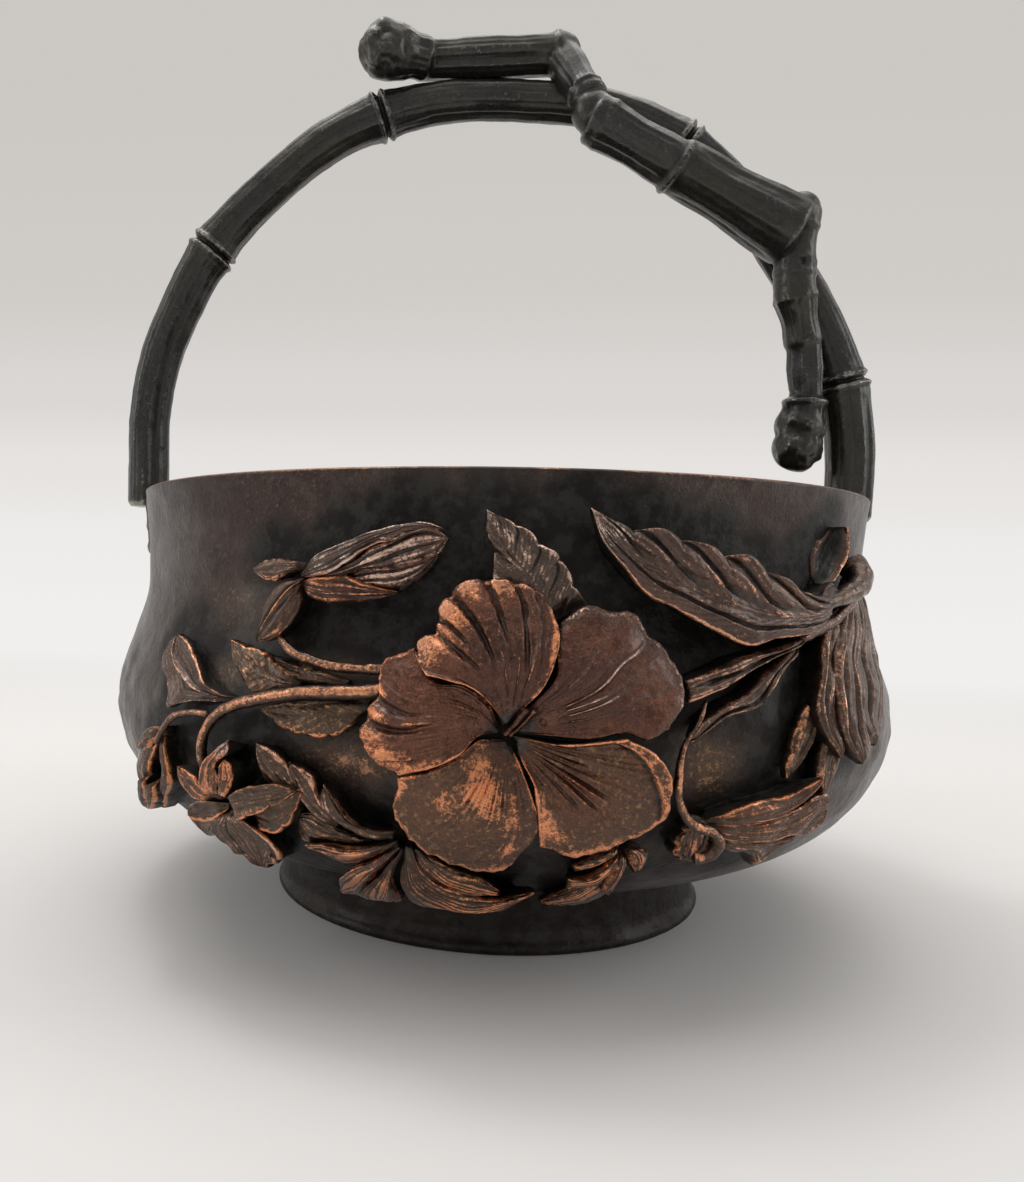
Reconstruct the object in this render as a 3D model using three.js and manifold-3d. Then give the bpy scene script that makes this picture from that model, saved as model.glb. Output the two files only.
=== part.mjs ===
// Bronze flower basket: a squat bowl on a foot ring, an arched handle cast as two bamboo canes, and flowers,
// buds and leaves in high relief across the front. Millimetres, +Z up, front toward -Y.
import * as THREE from "three";
import { mergeVertices } from "three/addons/utils/BufferGeometryUtils.js";
import Module from "manifold-3d";

const wasm = await Module();
wasm.setup();

// Driving dimensions of the bowl
const RIM_RADIUS = 105;
const RIM_HEIGHT = 116.4;
const NECK_RADIUS = 103.2;
const NECK_HEIGHT = 92;
const BELLY_RADIUS = 111.2;
const BELLY_HEIGHT = 58;
const WALL = 3;
const RIM_ROUND = 0.7;
const UNDERSIDE_FULLNESS = 0.57;

// Foot ring
const FOOT_RADIUS = 62.5;
const FOOT_HEIGHT = 17.7;
const FOOT_WALL = 5;
const FOOT_BEAD = 1.1;

// Gap left at every seat, where the real pieces are soldered or pressed together
const GAP = 0.3;

// Handle: it stands a little behind the middle and is turned a little
const HANDLE_TURN = THREE.MathUtils.degToRad(3.8);
const HANDLE_BACK = 2.3;
const ARCH_STAND_OFF = 4.6; // centre of the arch's foot outside the rim
const ARCH_HALF_SPAN = RIM_RADIUS + ARCH_STAND_OFF;
const ARCH_RISE = 126;
const ARCH_RADIUS = 6.7;
const ARCH_RADIUS_RIGHT = 7.4;
const LAP_BELOW_RIM = 3;
const BRANCH_SPAN = 109.6; // half span of the arch that the branch's places are drawn for
const NODE_SWELL = 0.8;
const NODE_LENGTH = 2.2;

// Riveted tongues that carry the handle down the outside of the neck
const TONGUE_THICKNESS = 4;
const TONGUE_WIDTH = 12;
const TONGUE_LENGTH = 19;
const RIVET_RADIUS = 1.6;
const RIVET_HEAD_RADIUS = 3;
const RIVET_HEAD_HEIGHT = 1.3;
const RIVET_DROPS = [8.4, 15.4];

// Relief
const LAYOUT_HEIGHT = 98.7; // wall height, foot to rim, that the relief's places are drawn for
const MOST_STRETCH = 2.4; // the wall turns under toward the foot, and lifts there stay near the belly
const PETAL_EDGE = 2.4;
const LEAF_EDGE = 1.9;
const LEAF_PILLOW = 0.9;
const FLOWER_CENTRE = [3.8, 64.3];
const FLOWER_CENTRE_LIFT = 6.5;
const STAMEN_REACH = [8.5, 5.5];
const STAMEN_RADIUS = 1.5;

// Facets
const ROUND_SEGMENTS = 42;
const CANE_SIDES = 8;

const smooth = (from, to, x) => THREE.MathUtils.smoothstep((x - from) / (to - from), 0, 1);
const mix = THREE.MathUtils.lerp;
const bell = (x, width) => Math.exp(-((x / width) ** 2));

// Outer radius of the wall at height z: foot seat, full underside, belly, hollow neck, rim
function wallRadius(z) {
  if (z <= BELLY_HEIGHT) {
    const t = THREE.MathUtils.clamp((z - FOOT_HEIGHT) / (BELLY_HEIGHT - FOOT_HEIGHT), 0, 1);
    return mix(FOOT_RADIUS, BELLY_RADIUS, (1 - (1 - t) ** 2) ** UNDERSIDE_FULLNESS);
  }
  if (z <= NECK_HEIGHT) {
    const t = (z - BELLY_HEIGHT) / (NECK_HEIGHT - BELLY_HEIGHT);
    return mix(NECK_RADIUS, BELLY_RADIUS, (1 + Math.cos(Math.PI * t)) / 2);
  }
  const t = (z - NECK_HEIGHT) / (RIM_HEIGHT - NECK_HEIGHT);
  return mix(NECK_RADIUS, RIM_RADIUS, t * t);
}

function wallSlope(z) {
  const step = 0.4;
  const low = Math.max(z - step, FOOT_HEIGHT);
  return (wallRadius(z + step) - wallRadius(low)) / (z + step - low);
}

// Point over the wall: across in mm round the belly from the front, up in layout mm, height off the wall
function onWall(across, up, height) {
  const angle = across / BELLY_RADIUS;
  const z = FOOT_HEIGHT + ((up - FOOT_HEIGHT) * (RIM_HEIGHT - FOOT_HEIGHT)) / LAYOUT_HEIGHT;
  const stretch = Math.min(Math.hypot(1, wallSlope(z)), MOST_STRETCH);
  const r = wallRadius(z) + height * stretch;
  return new THREE.Vector3(r * Math.sin(angle), -r * Math.cos(angle), z);
}

// Solids and geometries
function merged(geometry) {
  const bare = geometry.clone();
  bare.deleteAttribute("normal");
  bare.deleteAttribute("uv");
  const g = mergeVertices(bare, 1e-4);
  const kept = [];
  for (let i = 0; i < g.index.count; i += 3) {
    const [a, b, c] = [g.index.getX(i), g.index.getX(i + 1), g.index.getX(i + 2)];
    if (a !== b && b !== c && a !== c) kept.push(a, b, c);
  }
  return g.setIndex(kept);
}

function solid(geometry) {
  const g = merged(geometry);
  const triVerts = new Uint32Array(g.index.array);
  const vertProperties = g.attributes.position.array;
  const made = new wasm.Manifold(new wasm.Mesh({ numProp: 3, vertProperties, triVerts }));
  if (made.volume() >= 0) return made;
  for (let i = 0; i < triVerts.length; i += 3)
    [triVerts[i + 1], triVerts[i + 2]] = [triVerts[i + 2], triVerts[i + 1]];
  return new wasm.Manifold(new wasm.Mesh({ numProp: 3, vertProperties, triVerts }));
}

function geometryOf(made) {
  const mesh = made.getMesh();
  const g = new THREE.BufferGeometry();
  g.setAttribute("position", new THREE.BufferAttribute(new Float32Array(mesh.vertProperties), mesh.numProp));
  g.setIndex(new THREE.BufferAttribute(new Uint32Array(mesh.triVerts), 1));
  return g;
}

// The same solid with every corner moved out, so that what it cuts keeps clear of it
function grown(made, by) {
  const g = geometryOf(made);
  g.computeVertexNormals();
  const place = g.attributes.position;
  const normal = g.attributes.normal;
  for (let i = 0; i < place.count; i++)
    place.setXYZ(
      i,
      place.getX(i) + by * normal.getX(i),
      place.getY(i) + by * normal.getY(i),
      place.getZ(i) + by * normal.getZ(i),
    );
  g.deleteAttribute("normal");
  return solid(g);
}

function largest(made) {
  return made.decompose().reduce((best, body) => (body.volume() > best.volume() ? body : best));
}

// A closed solid between a front and a back face over the same places on the wall
function slab(rows, columns, place, front, back) {
  const stride = columns + 1;
  const points = [];
  for (const height of [front, back])
    for (let i = 0; i <= rows; i++)
      for (let j = 0; j <= columns; j++) {
        const [across, up] = place(i / rows, j / columns);
        points.push(...onWall(across, up, height(i / rows, j / columns)).toArray());
      }
  const faces = [];
  const quad = (a, b, c, d) => faces.push(a, b, c, a, c, d);
  const at = (side, i, j) => side * (rows + 1) * stride + i * stride + j;
  for (let i = 0; i < rows; i++)
    for (let j = 0; j < columns; j++) {
      quad(at(0, i, j), at(0, i, j + 1), at(0, i + 1, j + 1), at(0, i + 1, j));
      quad(at(1, i, j), at(1, i + 1, j), at(1, i + 1, j + 1), at(1, i, j + 1));
    }
  for (let i = 0; i < rows; i++) {
    quad(at(0, i, 0), at(0, i + 1, 0), at(1, i + 1, 0), at(1, i, 0));
    quad(at(0, i + 1, columns), at(0, i, columns), at(1, i, columns), at(1, i + 1, columns));
  }
  for (let j = 0; j < columns; j++) {
    quad(at(0, 0, j + 1), at(0, 0, j), at(1, 0, j), at(1, 0, j + 1));
    quad(at(0, rows, j), at(0, rows, j + 1), at(1, rows, j + 1), at(1, rows, j));
  }
  const g = new THREE.BufferGeometry();
  g.setAttribute("position", new THREE.Float32BufferAttribute(points, 3));
  g.setIndex(faces);
  return solid(g);
}

const evenly = (steps) => Array.from({ length: steps + 1 }, (_, i) => i / steps);

// A closed tube of changing radius along a curve. facing gives its first side's direction, and dome how far
// its ends bulge as a share of their radius.
function tube(curve, radius, stations, sides, facing, dome = 0.35) {
  const points = [];
  const faces = [];
  const steps = stations.length - 1;
  for (const t of stations) {
    const centre = curve.getPointAt(t);
    const along = curve.getTangentAt(t);
    const first = facing(centre, t).clone().projectOnPlane(along).normalize();
    const second = new THREE.Vector3().crossVectors(along, first);
    for (let k = 0; k < sides; k++) {
      const turn = (2 * Math.PI * k) / sides;
      const out = first.clone().multiplyScalar(Math.cos(turn)).addScaledVector(second, Math.sin(turn));
      points.push(...centre.clone().addScaledVector(out, radius(t)).toArray());
    }
  }
  for (const t of [0, 1]) {
    const bulge = curve.getTangentAt(t).multiplyScalar((t ? 1 : -1) * dome * radius(t));
    points.push(...curve.getPointAt(t).add(bulge).toArray());
  }
  for (let i = 0; i < steps; i++)
    for (let k = 0; k < sides; k++) {
      const next = (k + 1) % sides;
      const [a, b] = [i * sides + k, i * sides + next];
      const [c, d] = [(i + 1) * sides + next, (i + 1) * sides + k];
      faces.push(a, b, c, a, c, d);
    }
  const start = (steps + 1) * sides;
  for (let k = 0; k < sides; k++) {
    const next = (k + 1) % sides;
    faces.push(start, next, k);
    faces.push(start + 1, steps * sides + k, steps * sides + next);
  }
  const g = new THREE.BufferGeometry();
  g.setAttribute("position", new THREE.Float32BufferAttribute(points, 3));
  g.setIndex(faces);
  return solid(g);
}

const turned = (profile, segments) => new THREE.LatheGeometry(profile, segments).rotateX(Math.PI / 2);
const lathe = (profile) => solid(turned(profile, ROUND_SEGMENTS));
const flat = (r, z) => new THREE.Vector2(r, z);
const spline = (points) => new THREE.CatmullRomCurve3(points, false, "centripetal");

// Bowl: one hammered shell with an open mouth
function bowlShell() {
  const outer = [];
  const inner = [];
  const underside = evenly(8).map((t) => mix(FOOT_HEIGHT, BELLY_HEIGHT, t ** 1.6));
  const above = evenly(12).map((t) => mix(BELLY_HEIGHT, RIM_HEIGHT - RIM_ROUND, t));
  for (const [i, z] of [...underside, ...above.slice(1)].entries()) {
    outer.push(flat(wallRadius(z), z));
    const slope = wallSlope(z);
    const lean = Math.hypot(1, slope);
    if (i % 2 && z < BELLY_HEIGHT) continue;
    inner.push(flat(wallRadius(z) - WALL / lean, z + (WALL * slope) / lean));
  }
  inner[inner.length - 1].y = RIM_HEIGHT - RIM_ROUND;
  const floor = FOOT_HEIGHT + WALL;
  inner[0].set(FOOT_RADIUS, floor);
  const rim = [flat(RIM_RADIUS - RIM_ROUND, RIM_HEIGHT), flat(RIM_RADIUS - WALL + RIM_ROUND, RIM_HEIGHT)];
  return lathe([flat(0, FOOT_HEIGHT), ...outer, ...rim, ...inner.reverse(), flat(0, floor)]);
}

function footRing() {
  const top = FOOT_HEIGHT - GAP;
  const inside = FOOT_RADIUS - FOOT_WALL;
  const lip = FOOT_RADIUS + FOOT_BEAD;
  return lathe([
    flat(inside, 0),
    flat(lip - FOOT_BEAD / 2, 0),
    flat(lip, FOOT_BEAD),
    flat(lip - FOOT_BEAD / 2, 2.5 * FOOT_BEAD),
    flat(FOOT_RADIUS - FOOT_BEAD / 2, 4 * FOOT_BEAD),
    flat(FOOT_RADIUS - FOOT_BEAD / 2, top - 2 * FOOT_BEAD),
    flat(FOOT_RADIUS, top),
    flat(inside, top),
    flat(inside, 0),
  ]);
}

// Handle. Places in its own upright plane: u to the right, z up, forward out of the plane to the front
function inHandlePlane(u, z, forward = 0) {
  const side = new THREE.Vector3(Math.cos(HANDLE_TURN), Math.sin(HANDLE_TURN), 0);
  const front = new THREE.Vector3(Math.sin(HANDLE_TURN), -Math.cos(HANDLE_TURN), 0);
  return new THREE.Vector3(0, HANDLE_BACK, z).addScaledVector(side, u).addScaledVector(front, forward);
}

const archPlace = (span, rise, forward = 0) =>
  inHandlePlane(span * ARCH_HALF_SPAN, RIM_HEIGHT + rise * ARCH_RISE, forward);
const handleFront = () => new THREE.Vector3(Math.sin(HANDLE_TURN), -Math.cos(HANDLE_TURN), 0);

// Arch centreline in shares of the half span and of the rise above the rim
const ARCH_LINE = [
  [-1.0, 0.06],
  [-1.0, 0.2],
  [-0.965, 0.375],
  [-0.843, 0.6],
  [-0.62, 0.81],
  [-0.33, 0.96],
  [0.03, 1.0],
  [0.37, 0.955],
  [0.64, 0.79],
  [0.836, 0.565],
  [0.955, 0.34],
  [0.995, 0.18],
  [0.995, 0.05],
];
const ARCH_NODES = [0.245, 0.415, 0.665, 0.895];

function archSolid() {
  const foot = -LAP_BELOW_RIM / ARCH_RISE;
  const line = [[ARCH_LINE[0][0], foot], ...ARCH_LINE, [ARCH_LINE.at(-1)[0], foot]];
  const curve = spline(line.map(([span, rise]) => archPlace(span, rise)));
  const length = curve.getLength();
  const nodeWidth = NODE_LENGTH / length;
  const radius = (t) =>
    mix(ARCH_RADIUS, ARCH_RADIUS_RIGHT, smooth(0.7, 1, t)) +
    ARCH_NODES.reduce((sum, at) => sum + NODE_SWELL * bell(t - at, nodeWidth), 0);
  const rings = ARCH_NODES.flatMap((at) => [-2, -0.8, 0, 0.8, 2].map((k) => at + k * nodeWidth));
  const between = evenly(26).filter((t) => rings.every((ring) => Math.abs(t - ring) > nodeWidth));
  return tube(curve, radius, [...between, ...rings].sort((a, b) => a - b), CANE_SIDES, handleFront, 0.1);
}

// The neck and rim with a seat gap round them, which notches the handle's ends
function neckEnvelope() {
  const steps = 8;
  const low = RIM_HEIGHT - 2 * TONGUE_LENGTH;
  const top = RIM_HEIGHT + GAP;
  const side = [];
  for (let i = 0; i <= steps; i++) {
    const z = mix(low, top, i / steps);
    side.push(flat(wallRadius(Math.min(z, RIM_HEIGHT)) + GAP, z));
  }
  return lathe([flat(0, low), ...side, flat(0, top)]);
}

const endAcross = (end) => Math.atan2(end.x, -end.y) * BELLY_RADIUS;
const layoutUp = (z) => FOOT_HEIGHT + ((z - FOOT_HEIGHT) * LAYOUT_HEIGHT) / (RIM_HEIGHT - FOOT_HEIGHT);

// Flat tongue below one end of the arch, following the neck, with a rounded foot
function tongue(end) {
  const middle = endAcross(end);
  const scale = BELLY_RADIUS / RIM_RADIUS;
  const place = (u, v) => {
    const round = Math.sqrt(1 - smooth(0.65, 1, u) ** 2 * 0.75);
    const z = RIM_HEIGHT - TONGUE_LENGTH * u;
    return [middle + (v - 0.5) * TONGUE_WIDTH * scale * round, layoutUp(z)];
  };
  return slab(6, 4, place, () => GAP + TONGUE_THICKNESS, () => GAP);
}

// Where a rivet goes through the neck: the point on the wall and the direction out of it
function rivetSeat(end, drop) {
  const up = layoutUp(RIM_HEIGHT - drop);
  const foot = onWall(endAcross(end), up, 0);
  const slope = wallSlope(RIM_HEIGHT - drop);
  const out = new THREE.Vector3(end.x, end.y, 0).normalize();
  out.z = -slope;
  return { foot, turn: new THREE.Quaternion().setFromUnitVectors(new THREE.Vector3(0, 0, 1), out.normalize()) };
}

function placed(geometry, seat) {
  return solid(geometry.applyQuaternion(seat.turn).translate(seat.foot.x, seat.foot.y, seat.foot.z));
}

function rivet(seat) {
  const inner = -WALL - 2 * GAP;
  const outer = TONGUE_THICKNESS + 2 * GAP;
  const profile = [
    flat(0, inner - RIVET_HEAD_HEIGHT),
    flat(RIVET_HEAD_RADIUS * 0.6, inner - RIVET_HEAD_HEIGHT * 0.8),
    flat(RIVET_HEAD_RADIUS * 0.95, inner - RIVET_HEAD_HEIGHT * 0.3),
    flat(RIVET_HEAD_RADIUS, inner),
    flat(RIVET_RADIUS, inner),
    flat(RIVET_RADIUS, outer),
    flat(RIVET_HEAD_RADIUS * 0.85, outer),
    flat(RIVET_HEAD_RADIUS * 0.55, outer + RIVET_HEAD_HEIGHT * 0.6),
    flat(0, outer + RIVET_HEAD_HEIGHT * 0.75),
  ];
  return placed(turned(profile, 10), seat);
}

function rivetHole(seat) {
  const reach = 4 * (WALL + TONGUE_THICKNESS);
  const bore = new THREE.CylinderGeometry(RIVET_RADIUS + GAP, RIVET_RADIUS + GAP, reach, 10);
  return placed(bore.rotateX(Math.PI / 2), seat);
}

// Branch cane: straight internodes that bend at their knuckles, each [u, z, forward, radius] at both ends.
// Its places follow the arch: u from the middle, z below the crown of the arch.
const BRANCH = [
  { from: [-24, 12, 1, 6.2], to: [-34, 12.5, 5, 8.4] },
  { from: [-28, 12, 0, 6.4], to: [17, 13.6, 1, 6.5] },
  { from: [17, 13.6, 1, 6.5], to: [25, -6, 12, 5.3] },
  { from: [25.5, -11, 12, 7.4], to: [51, -25.5, 12, 7.5] },
  { from: [51, -24.5, 11, 8.1], to: [83.5, -44, 10, 10.3] },
  { from: [88.5, -36.5, 11, 5.6], to: [87, -57, 10, 5.2] },
  { from: [87, -60, 10, 6.3], to: [92, -76, 7.5, 4.8] },
  { from: [92, -76, 7.5, 4.8], to: [93.2, -93, 6, 4.8] },
  { from: [92.8, -94, 5.5, 6.6], to: [92, -110, 4.5, 6.8] },
];
const BRANCH_KNUCKLES = [
  [17.5, 14, 1, 7.2],
  [25, -9, 12, 7.6],
  [51, -25.5, 11.5, 8.8],
  [88.5, -36.5, 11, 6.4],
  [87, -59, 10, 6.9],
  [92.3, -105, 5, 7.9],
  [-37, 12.2, 6, 9.6],
];

function branchPlace([u, drop, forward]) {
  return inHandlePlane((u * ARCH_HALF_SPAN) / BRANCH_SPAN, RIM_HEIGHT + ARCH_RISE + drop, forward);
}

function branchSolid(arch) {
  const internodes = BRANCH.map(({ from, to }) => {
    const line = new THREE.LineCurve3(branchPlace(from), branchPlace(to));
    const radius = (t) => mix(from[3], to[3], t) + NODE_SWELL * 0.4 * (bell(t, 0.08) + bell(t - 1, 0.08));
    return tube(line, radius, [0, 0.1, 0.9, 1], CANE_SIDES, handleFront);
  });
  const knuckles = BRANCH_KNUCKLES.map((knuckle) => {
    const ball = new THREE.SphereGeometry(knuckle[3], CANE_SIDES, 4).rotateX(Math.PI / 2);
    const at = branchPlace(knuckle);
    return solid(ball.translate(at.x, at.y, at.z));
  });
  const cane = [...internodes, ...knuckles].reduce((sum, piece) => sum.add(piece));
  return largest(cane.subtract(grown(arch, 1.4 * GAP)));
}

// Large flower: each petal between two edges that leave the centre and the rim that joins their far ends
const PETALS = [
  {
    name: "flower_petal_top",
    lift: 11,
    edges: [
      [[3, 65.5], [1.5, 68.5], [-3, 73], [-11.5, 74.5]],
      [[4.5, 66.5], [10.5, 74.5], [13, 83.5], [12, 88]],
    ],
    rim: [[-13, 78.5], [-10, 86], [-5.5, 92.3], [0, 93.6], [7, 92.3]],
  },
  {
    name: "flower_petal_lower_right",
    lift: 11,
    edges: [
      [[5.5, 62.8], [7.5, 57], [9.5, 49.5], [10.2, 43.2]],
      [[5.5, 63.4], [12.5, 63], [19, 63.4], [24, 64.4]],
    ],
    rim: [[16.5, 41.5], [25.5, 44.8], [31.2, 50], [31, 58.5], [28, 62.5]],
  },
  {
    name: "flower_petal_upper_right",
    lift: 11,
    edges: [
      [[6, 67], [9, 70.5], [12.8, 76.5], [13.8, 85]],
      [[6, 64.2], [12.5, 64.3], [25, 65.2], [32.5, 66]],
    ],
    rim: [[20, 89], [26.5, 88], [32, 82.5], [36, 74.5], [34.8, 69]],
  },
  {
    name: "flower_petal_left",
    lift: 10,
    edges: [
      [[2, 65], [0, 69.5], [-5.5, 74.3], [-14.3, 79.3]],
      [[2, 64], [-1.5, 63.5], [-9, 58], [-15.5, 55.3]],
    ],
    rim: [[-20, 75.8], [-20.3, 71], [-22.8, 65], [-20, 58.5]],
  },
  {
    name: "flower_petal_lower_left",
    lift: 10,
    edges: [
      [[4, 62], [7, 56], [9.3, 48], [6.5, 40.5]],
      [[3, 62.5], [-1.5, 62.5], [-8, 58], [-15.8, 55]],
    ],
    rim: [[2.5, 37], [-5.5, 37.5], [-13, 42], [-16.8, 49]],
  },
];

function petalSolid({ lift, edges, rim }) {
  const line = (points) => spline(points.map(([x, y]) => new THREE.Vector3(x, y, 0)));
  const [a, b] = edges.map(line);
  const end = line([edges[0].at(-1), ...rim, edges[1].at(-1)]);
  const [a0, b0, a1, b1] = [a.getPointAt(0), b.getPointAt(0), a.getPointAt(1), b.getPointAt(1)];
  const place = (u, v) => {
    const sides = a.getPointAt(u).lerp(b.getPointAt(u), v);
    const ends = a0.clone().lerp(b0, v).lerp(end.getPointAt(v), u);
    const corners = a0.clone().lerp(b0, v).lerp(a1.clone().lerp(b1, v), u);
    const p = sides.add(ends).sub(corners);
    return [p.x, p.y];
  };
  const front = (u, v) => {
    const dish = mix(FLOWER_CENTRE_LIFT, lift, smooth(0, 1, u));
    return dish + 1.3 * Math.sin(Math.PI * v) * Math.sin(Math.PI * u) + 0.5 * u * u * Math.sin(5 * Math.PI * v);
  };
  const back = (u, v) => {
    const seat = smooth(0.8, 0.4, u) * smooth(0.98, 0.5, Math.abs(2 * v - 1));
    return mix(Math.max(GAP, front(u, v) - PETAL_EDGE), GAP, seat);
  };
  return slab(5, 8, place, front, back);
}

function stamenSolid() {
  const [x, y] = FLOWER_CENTRE;
  const from = onWall(x + 0.4, y + 0.3, FLOWER_CENTRE_LIFT - 4);
  const to = onWall(x + STAMEN_REACH[0] * 0.45, y + STAMEN_REACH[1], FLOWER_CENTRE_LIFT + STAMEN_REACH[1]);
  return tube(new THREE.LineCurve3(from, to), () => STAMEN_RADIUS, evenly(2), 7, () => new THREE.Vector3(1, 0, 0));
}

// Leaves and small petals, from root to tip. bow bends the midrib, wide is the half width on each side of it,
// widest is where along the leaf that is, and neck is the share of the width kept at the root.
const leaf = (name, lift, root, tip, bow, wide, widest, neck) => ({ name, lift, root, tip, bow, wide, widest, neck });

const SMALL_FLOWER = [
  leaf("small_petal_up_left", 9, [-54.8, 45.9], [-49.9, 58.2], 2.5, [1.6, 2.2], 0.31, 0.8),
  leaf("small_petal_up_right", 8, [-53.7, 45.9], [-52.3, 55], 0.2, [0.8, 2.3], 0.47, 0.9),
  leaf("small_petal_right", 9, [-51.2, 43.2], [-37, 48], 1, [5, 3.4], 0.55, 0.3),
  leaf("small_petal_left_upper", 8, [-57.8, 44.9], [-65, 50.3], -0.1, [2.3, 2.4], 0.52, 0.4),
  leaf("small_petal_left", 7, [-56.8, 43.8], [-68.6, 39.6], 0.4, [2.8, 1.8], 0.49, 0.5),
  leaf("small_petal_bottom", 8, [-52.5, 43], [-48.3, 29.6], -1, [7, 8], 0.55, 0.3),
  leaf("small_petal_right_back", 6, [-50.6, 40.4], [-36.7, 45.4], 0.6, [1.9, 3.2], 0.5, 0.4),
  leaf("small_petal_bottom_left", 6, [-58.1, 40.4], [-69.6, 32.6], -0.6, [1.4, 5.5], 0.7, 0.4),
];

const LEAVES = [
  leaf("bud_left_petal_outer", 8, [-40.1, 94.6], [-10.4, 104.2], 1.8, [1, 3.9], 0.3, 0.6),
  leaf("bud_left_petal_inner", 7, [-33.7, 93.6], [-8.1, 101.8], -1.5, [4.3, 4.8], 0.56, 0.4),
  leaf("bud_left_petal_lower", 6, [-41, 91.8], [-19, 90.6], 0.2, [1.1, 3.6], 0.35, 0.4),
  leaf("bud_left_calyx_upper", 6, [-41.6, 95.5], [-54.8, 94.3], -0.5, [3.2, 1.1], 0.56, 0.6),
  leaf("bud_left_calyx_lower", 7, [-41.7, 93], [-49.8, 78.8], 0.9, [3.1, 5], 0.49, 0.3),
  leaf("leaf_right_large", 9, [84, 89.7], [18.7, 106.9], 11.5, [4.2, 12.5], 0.52, 0.4),
  leaf("leaf_top", 7, [11.7, 88.2], [-1.5, 106.4], -1.7, [8.6, 6.6], 0.25, 0.9),
  leaf("leaf_right_edge", 5, [87.7, 93.8], [92.4, 107.6], 0.2, [7.5, 5.5], 0.43, 0.7),
  leaf("leaf_stem_upper", 7, [73.8, 82.7], [37.6, 72.1], -1, [2.3, 2.1], 0.75, 0.5),
  leaf("leaf_stem_lower", 6, [71.3, 81.9], [38.1, 63.9], -0.2, [2, 1.2], 0.55, 0.6),
  leaf("leaf_hang_outer", 5, [103.3, 89.6], [96.6, 62.6], -2.4, [5.2, 9], 0.72, 0.4),
  leaf("leaf_hang_middle", 6, [96.5, 89.2], [77.3, 56.4], -3.2, [5.6, 4.3], 0.75, 0.5),
  leaf("leaf_hang_inner", 5, [94, 87.3], [75.1, 65.7], -2.4, [1.4, 4.6], 0.58, 0.4),
  leaf("leaf_hang_small", 4, [73.1, 68.7], [63.9, 54.7], 0.2, [2.3, 3.1], 0.53, 0.7),
  leaf("leaf_hang_low", 4, [79.6, 65], [74.9, 48.6], -0.8, [1.8, 4.1], 0.48, 0.7),
  leaf("bud_right_petal_upper", 6, [44.5, 48.5], [67, 53.6], -0.6, [1, 5], 0.49, 0.8),
  leaf("bud_right_petal_middle", 5, [47.5, 42.6], [72.6, 42.4], 0.5, [2.2, 3.4], 0.51, 0.8),
  leaf("bud_right_petal_end", 5, [58.7, 44.1], [74.4, 46.9], -0.2, [4, 3.5], 0.64, 0.6),
  leaf("bud_right_petal_lower", 4, [50.8, 39.4], [73.7, 37.5], 0.1, [1, 4.4], 0.7, 0.7),
  leaf("leaf_left_upper", 4, [-56.9, 66.1], [-80.9, 78.7], 3.3, [6.1, 5.3], 0.64, 0.3),
  leaf("leaf_left_middle", 4, [-39.5, 71.2], [-60.2, 78.3], -1.1, [6.8, 1.2], 0.48, 0.3),
  leaf("leaf_left_back", 3, [-29.2, 71.5], [-50.4, 75.8], 0.5, [1.5, 1.5], 0.47, 0.4),
  leaf("leaf_under_branch", 4, [-23.9, 68.3], [-48, 65.2], -0.4, [6.7, 1.2], 0.4, 0.4),
  leaf("leaf_drop", 6, [-76.5, 57.5], [-91.3, 35.4], -1, [7.5, 4.2], 0.44, 0.3),
];

// Leaves cut deep into lobes, each leaf one casting
const LOBED_LEAVES = {
  leaf_lobed_left: [
    leaf("near", 6, [-18.4, 42], [-31.3, 51.8], 3.3, [2.3, 1.6], 0.63, 0.8),
    leaf("middle", 5, [-30.5, 41.8], [-39, 55], 0.6, [2.4, 3.6], 0.52, 0.9),
    leaf("far", 5, [-35.9, 46.9], [-46.9, 57.9], 0.2, [3.8, 2.6], 0.47, 0.7),
    leaf("back", 4, [-22.7, 39.8], [-40.8, 42.9], 1.2, [4.9, 2.7], 0.7, 0.5),
  ],
  leaf_fan_left: [
    leaf("first", 5, [-16.6, 40], [-38.9, 36.8], 1.7, [2.8, 1.2], 0.55, 0.5),
    leaf("second", 5, [-16.2, 39.5], [-36.8, 22.6], -0.1, [2.6, 2.4], 0.68, 0.5),
    leaf("third", 5, [-16, 39.2], [-27.1, 20.2], -0.5, [3.9, 4.3], 0.75, 0.4),
    leaf("sweep", 5, [-16, 37.9], [10.9, 29.6], -6.4, [1.5, 8], 0.33, 0.3),
    leaf("inner", 4, [-15, 38.9], [4.6, 28.3], -0.8, [1.1, 5.8], 0.43, 0.4),
  ],
  leaf_fan_right: [
    leaf("first", 5, [28, 42], [17.9, 36.5], 0.6, [1.7, 1.4], 0.54, 0.9),
    leaf("second", 5, [28, 41.2], [17.7, 32.8], 1.9, [3.1, 1.2], 0.62, 0.6),
    leaf("third", 5, [28.3, 41.5], [28.1, 28.7], 0.1, [1.5, 2], 0.53, 0.8),
    leaf("fourth", 5, [28.4, 41.4], [32.1, 34.9], 0.2, [3.2, 1], 0.4, 0.9),
    leaf("low", 4, [28, 38], [14.9, 24], 0.4, [6, 1.2], 0.37, 0.6),
  ],
};

const ROUNDNESS = 0.8;

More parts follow.
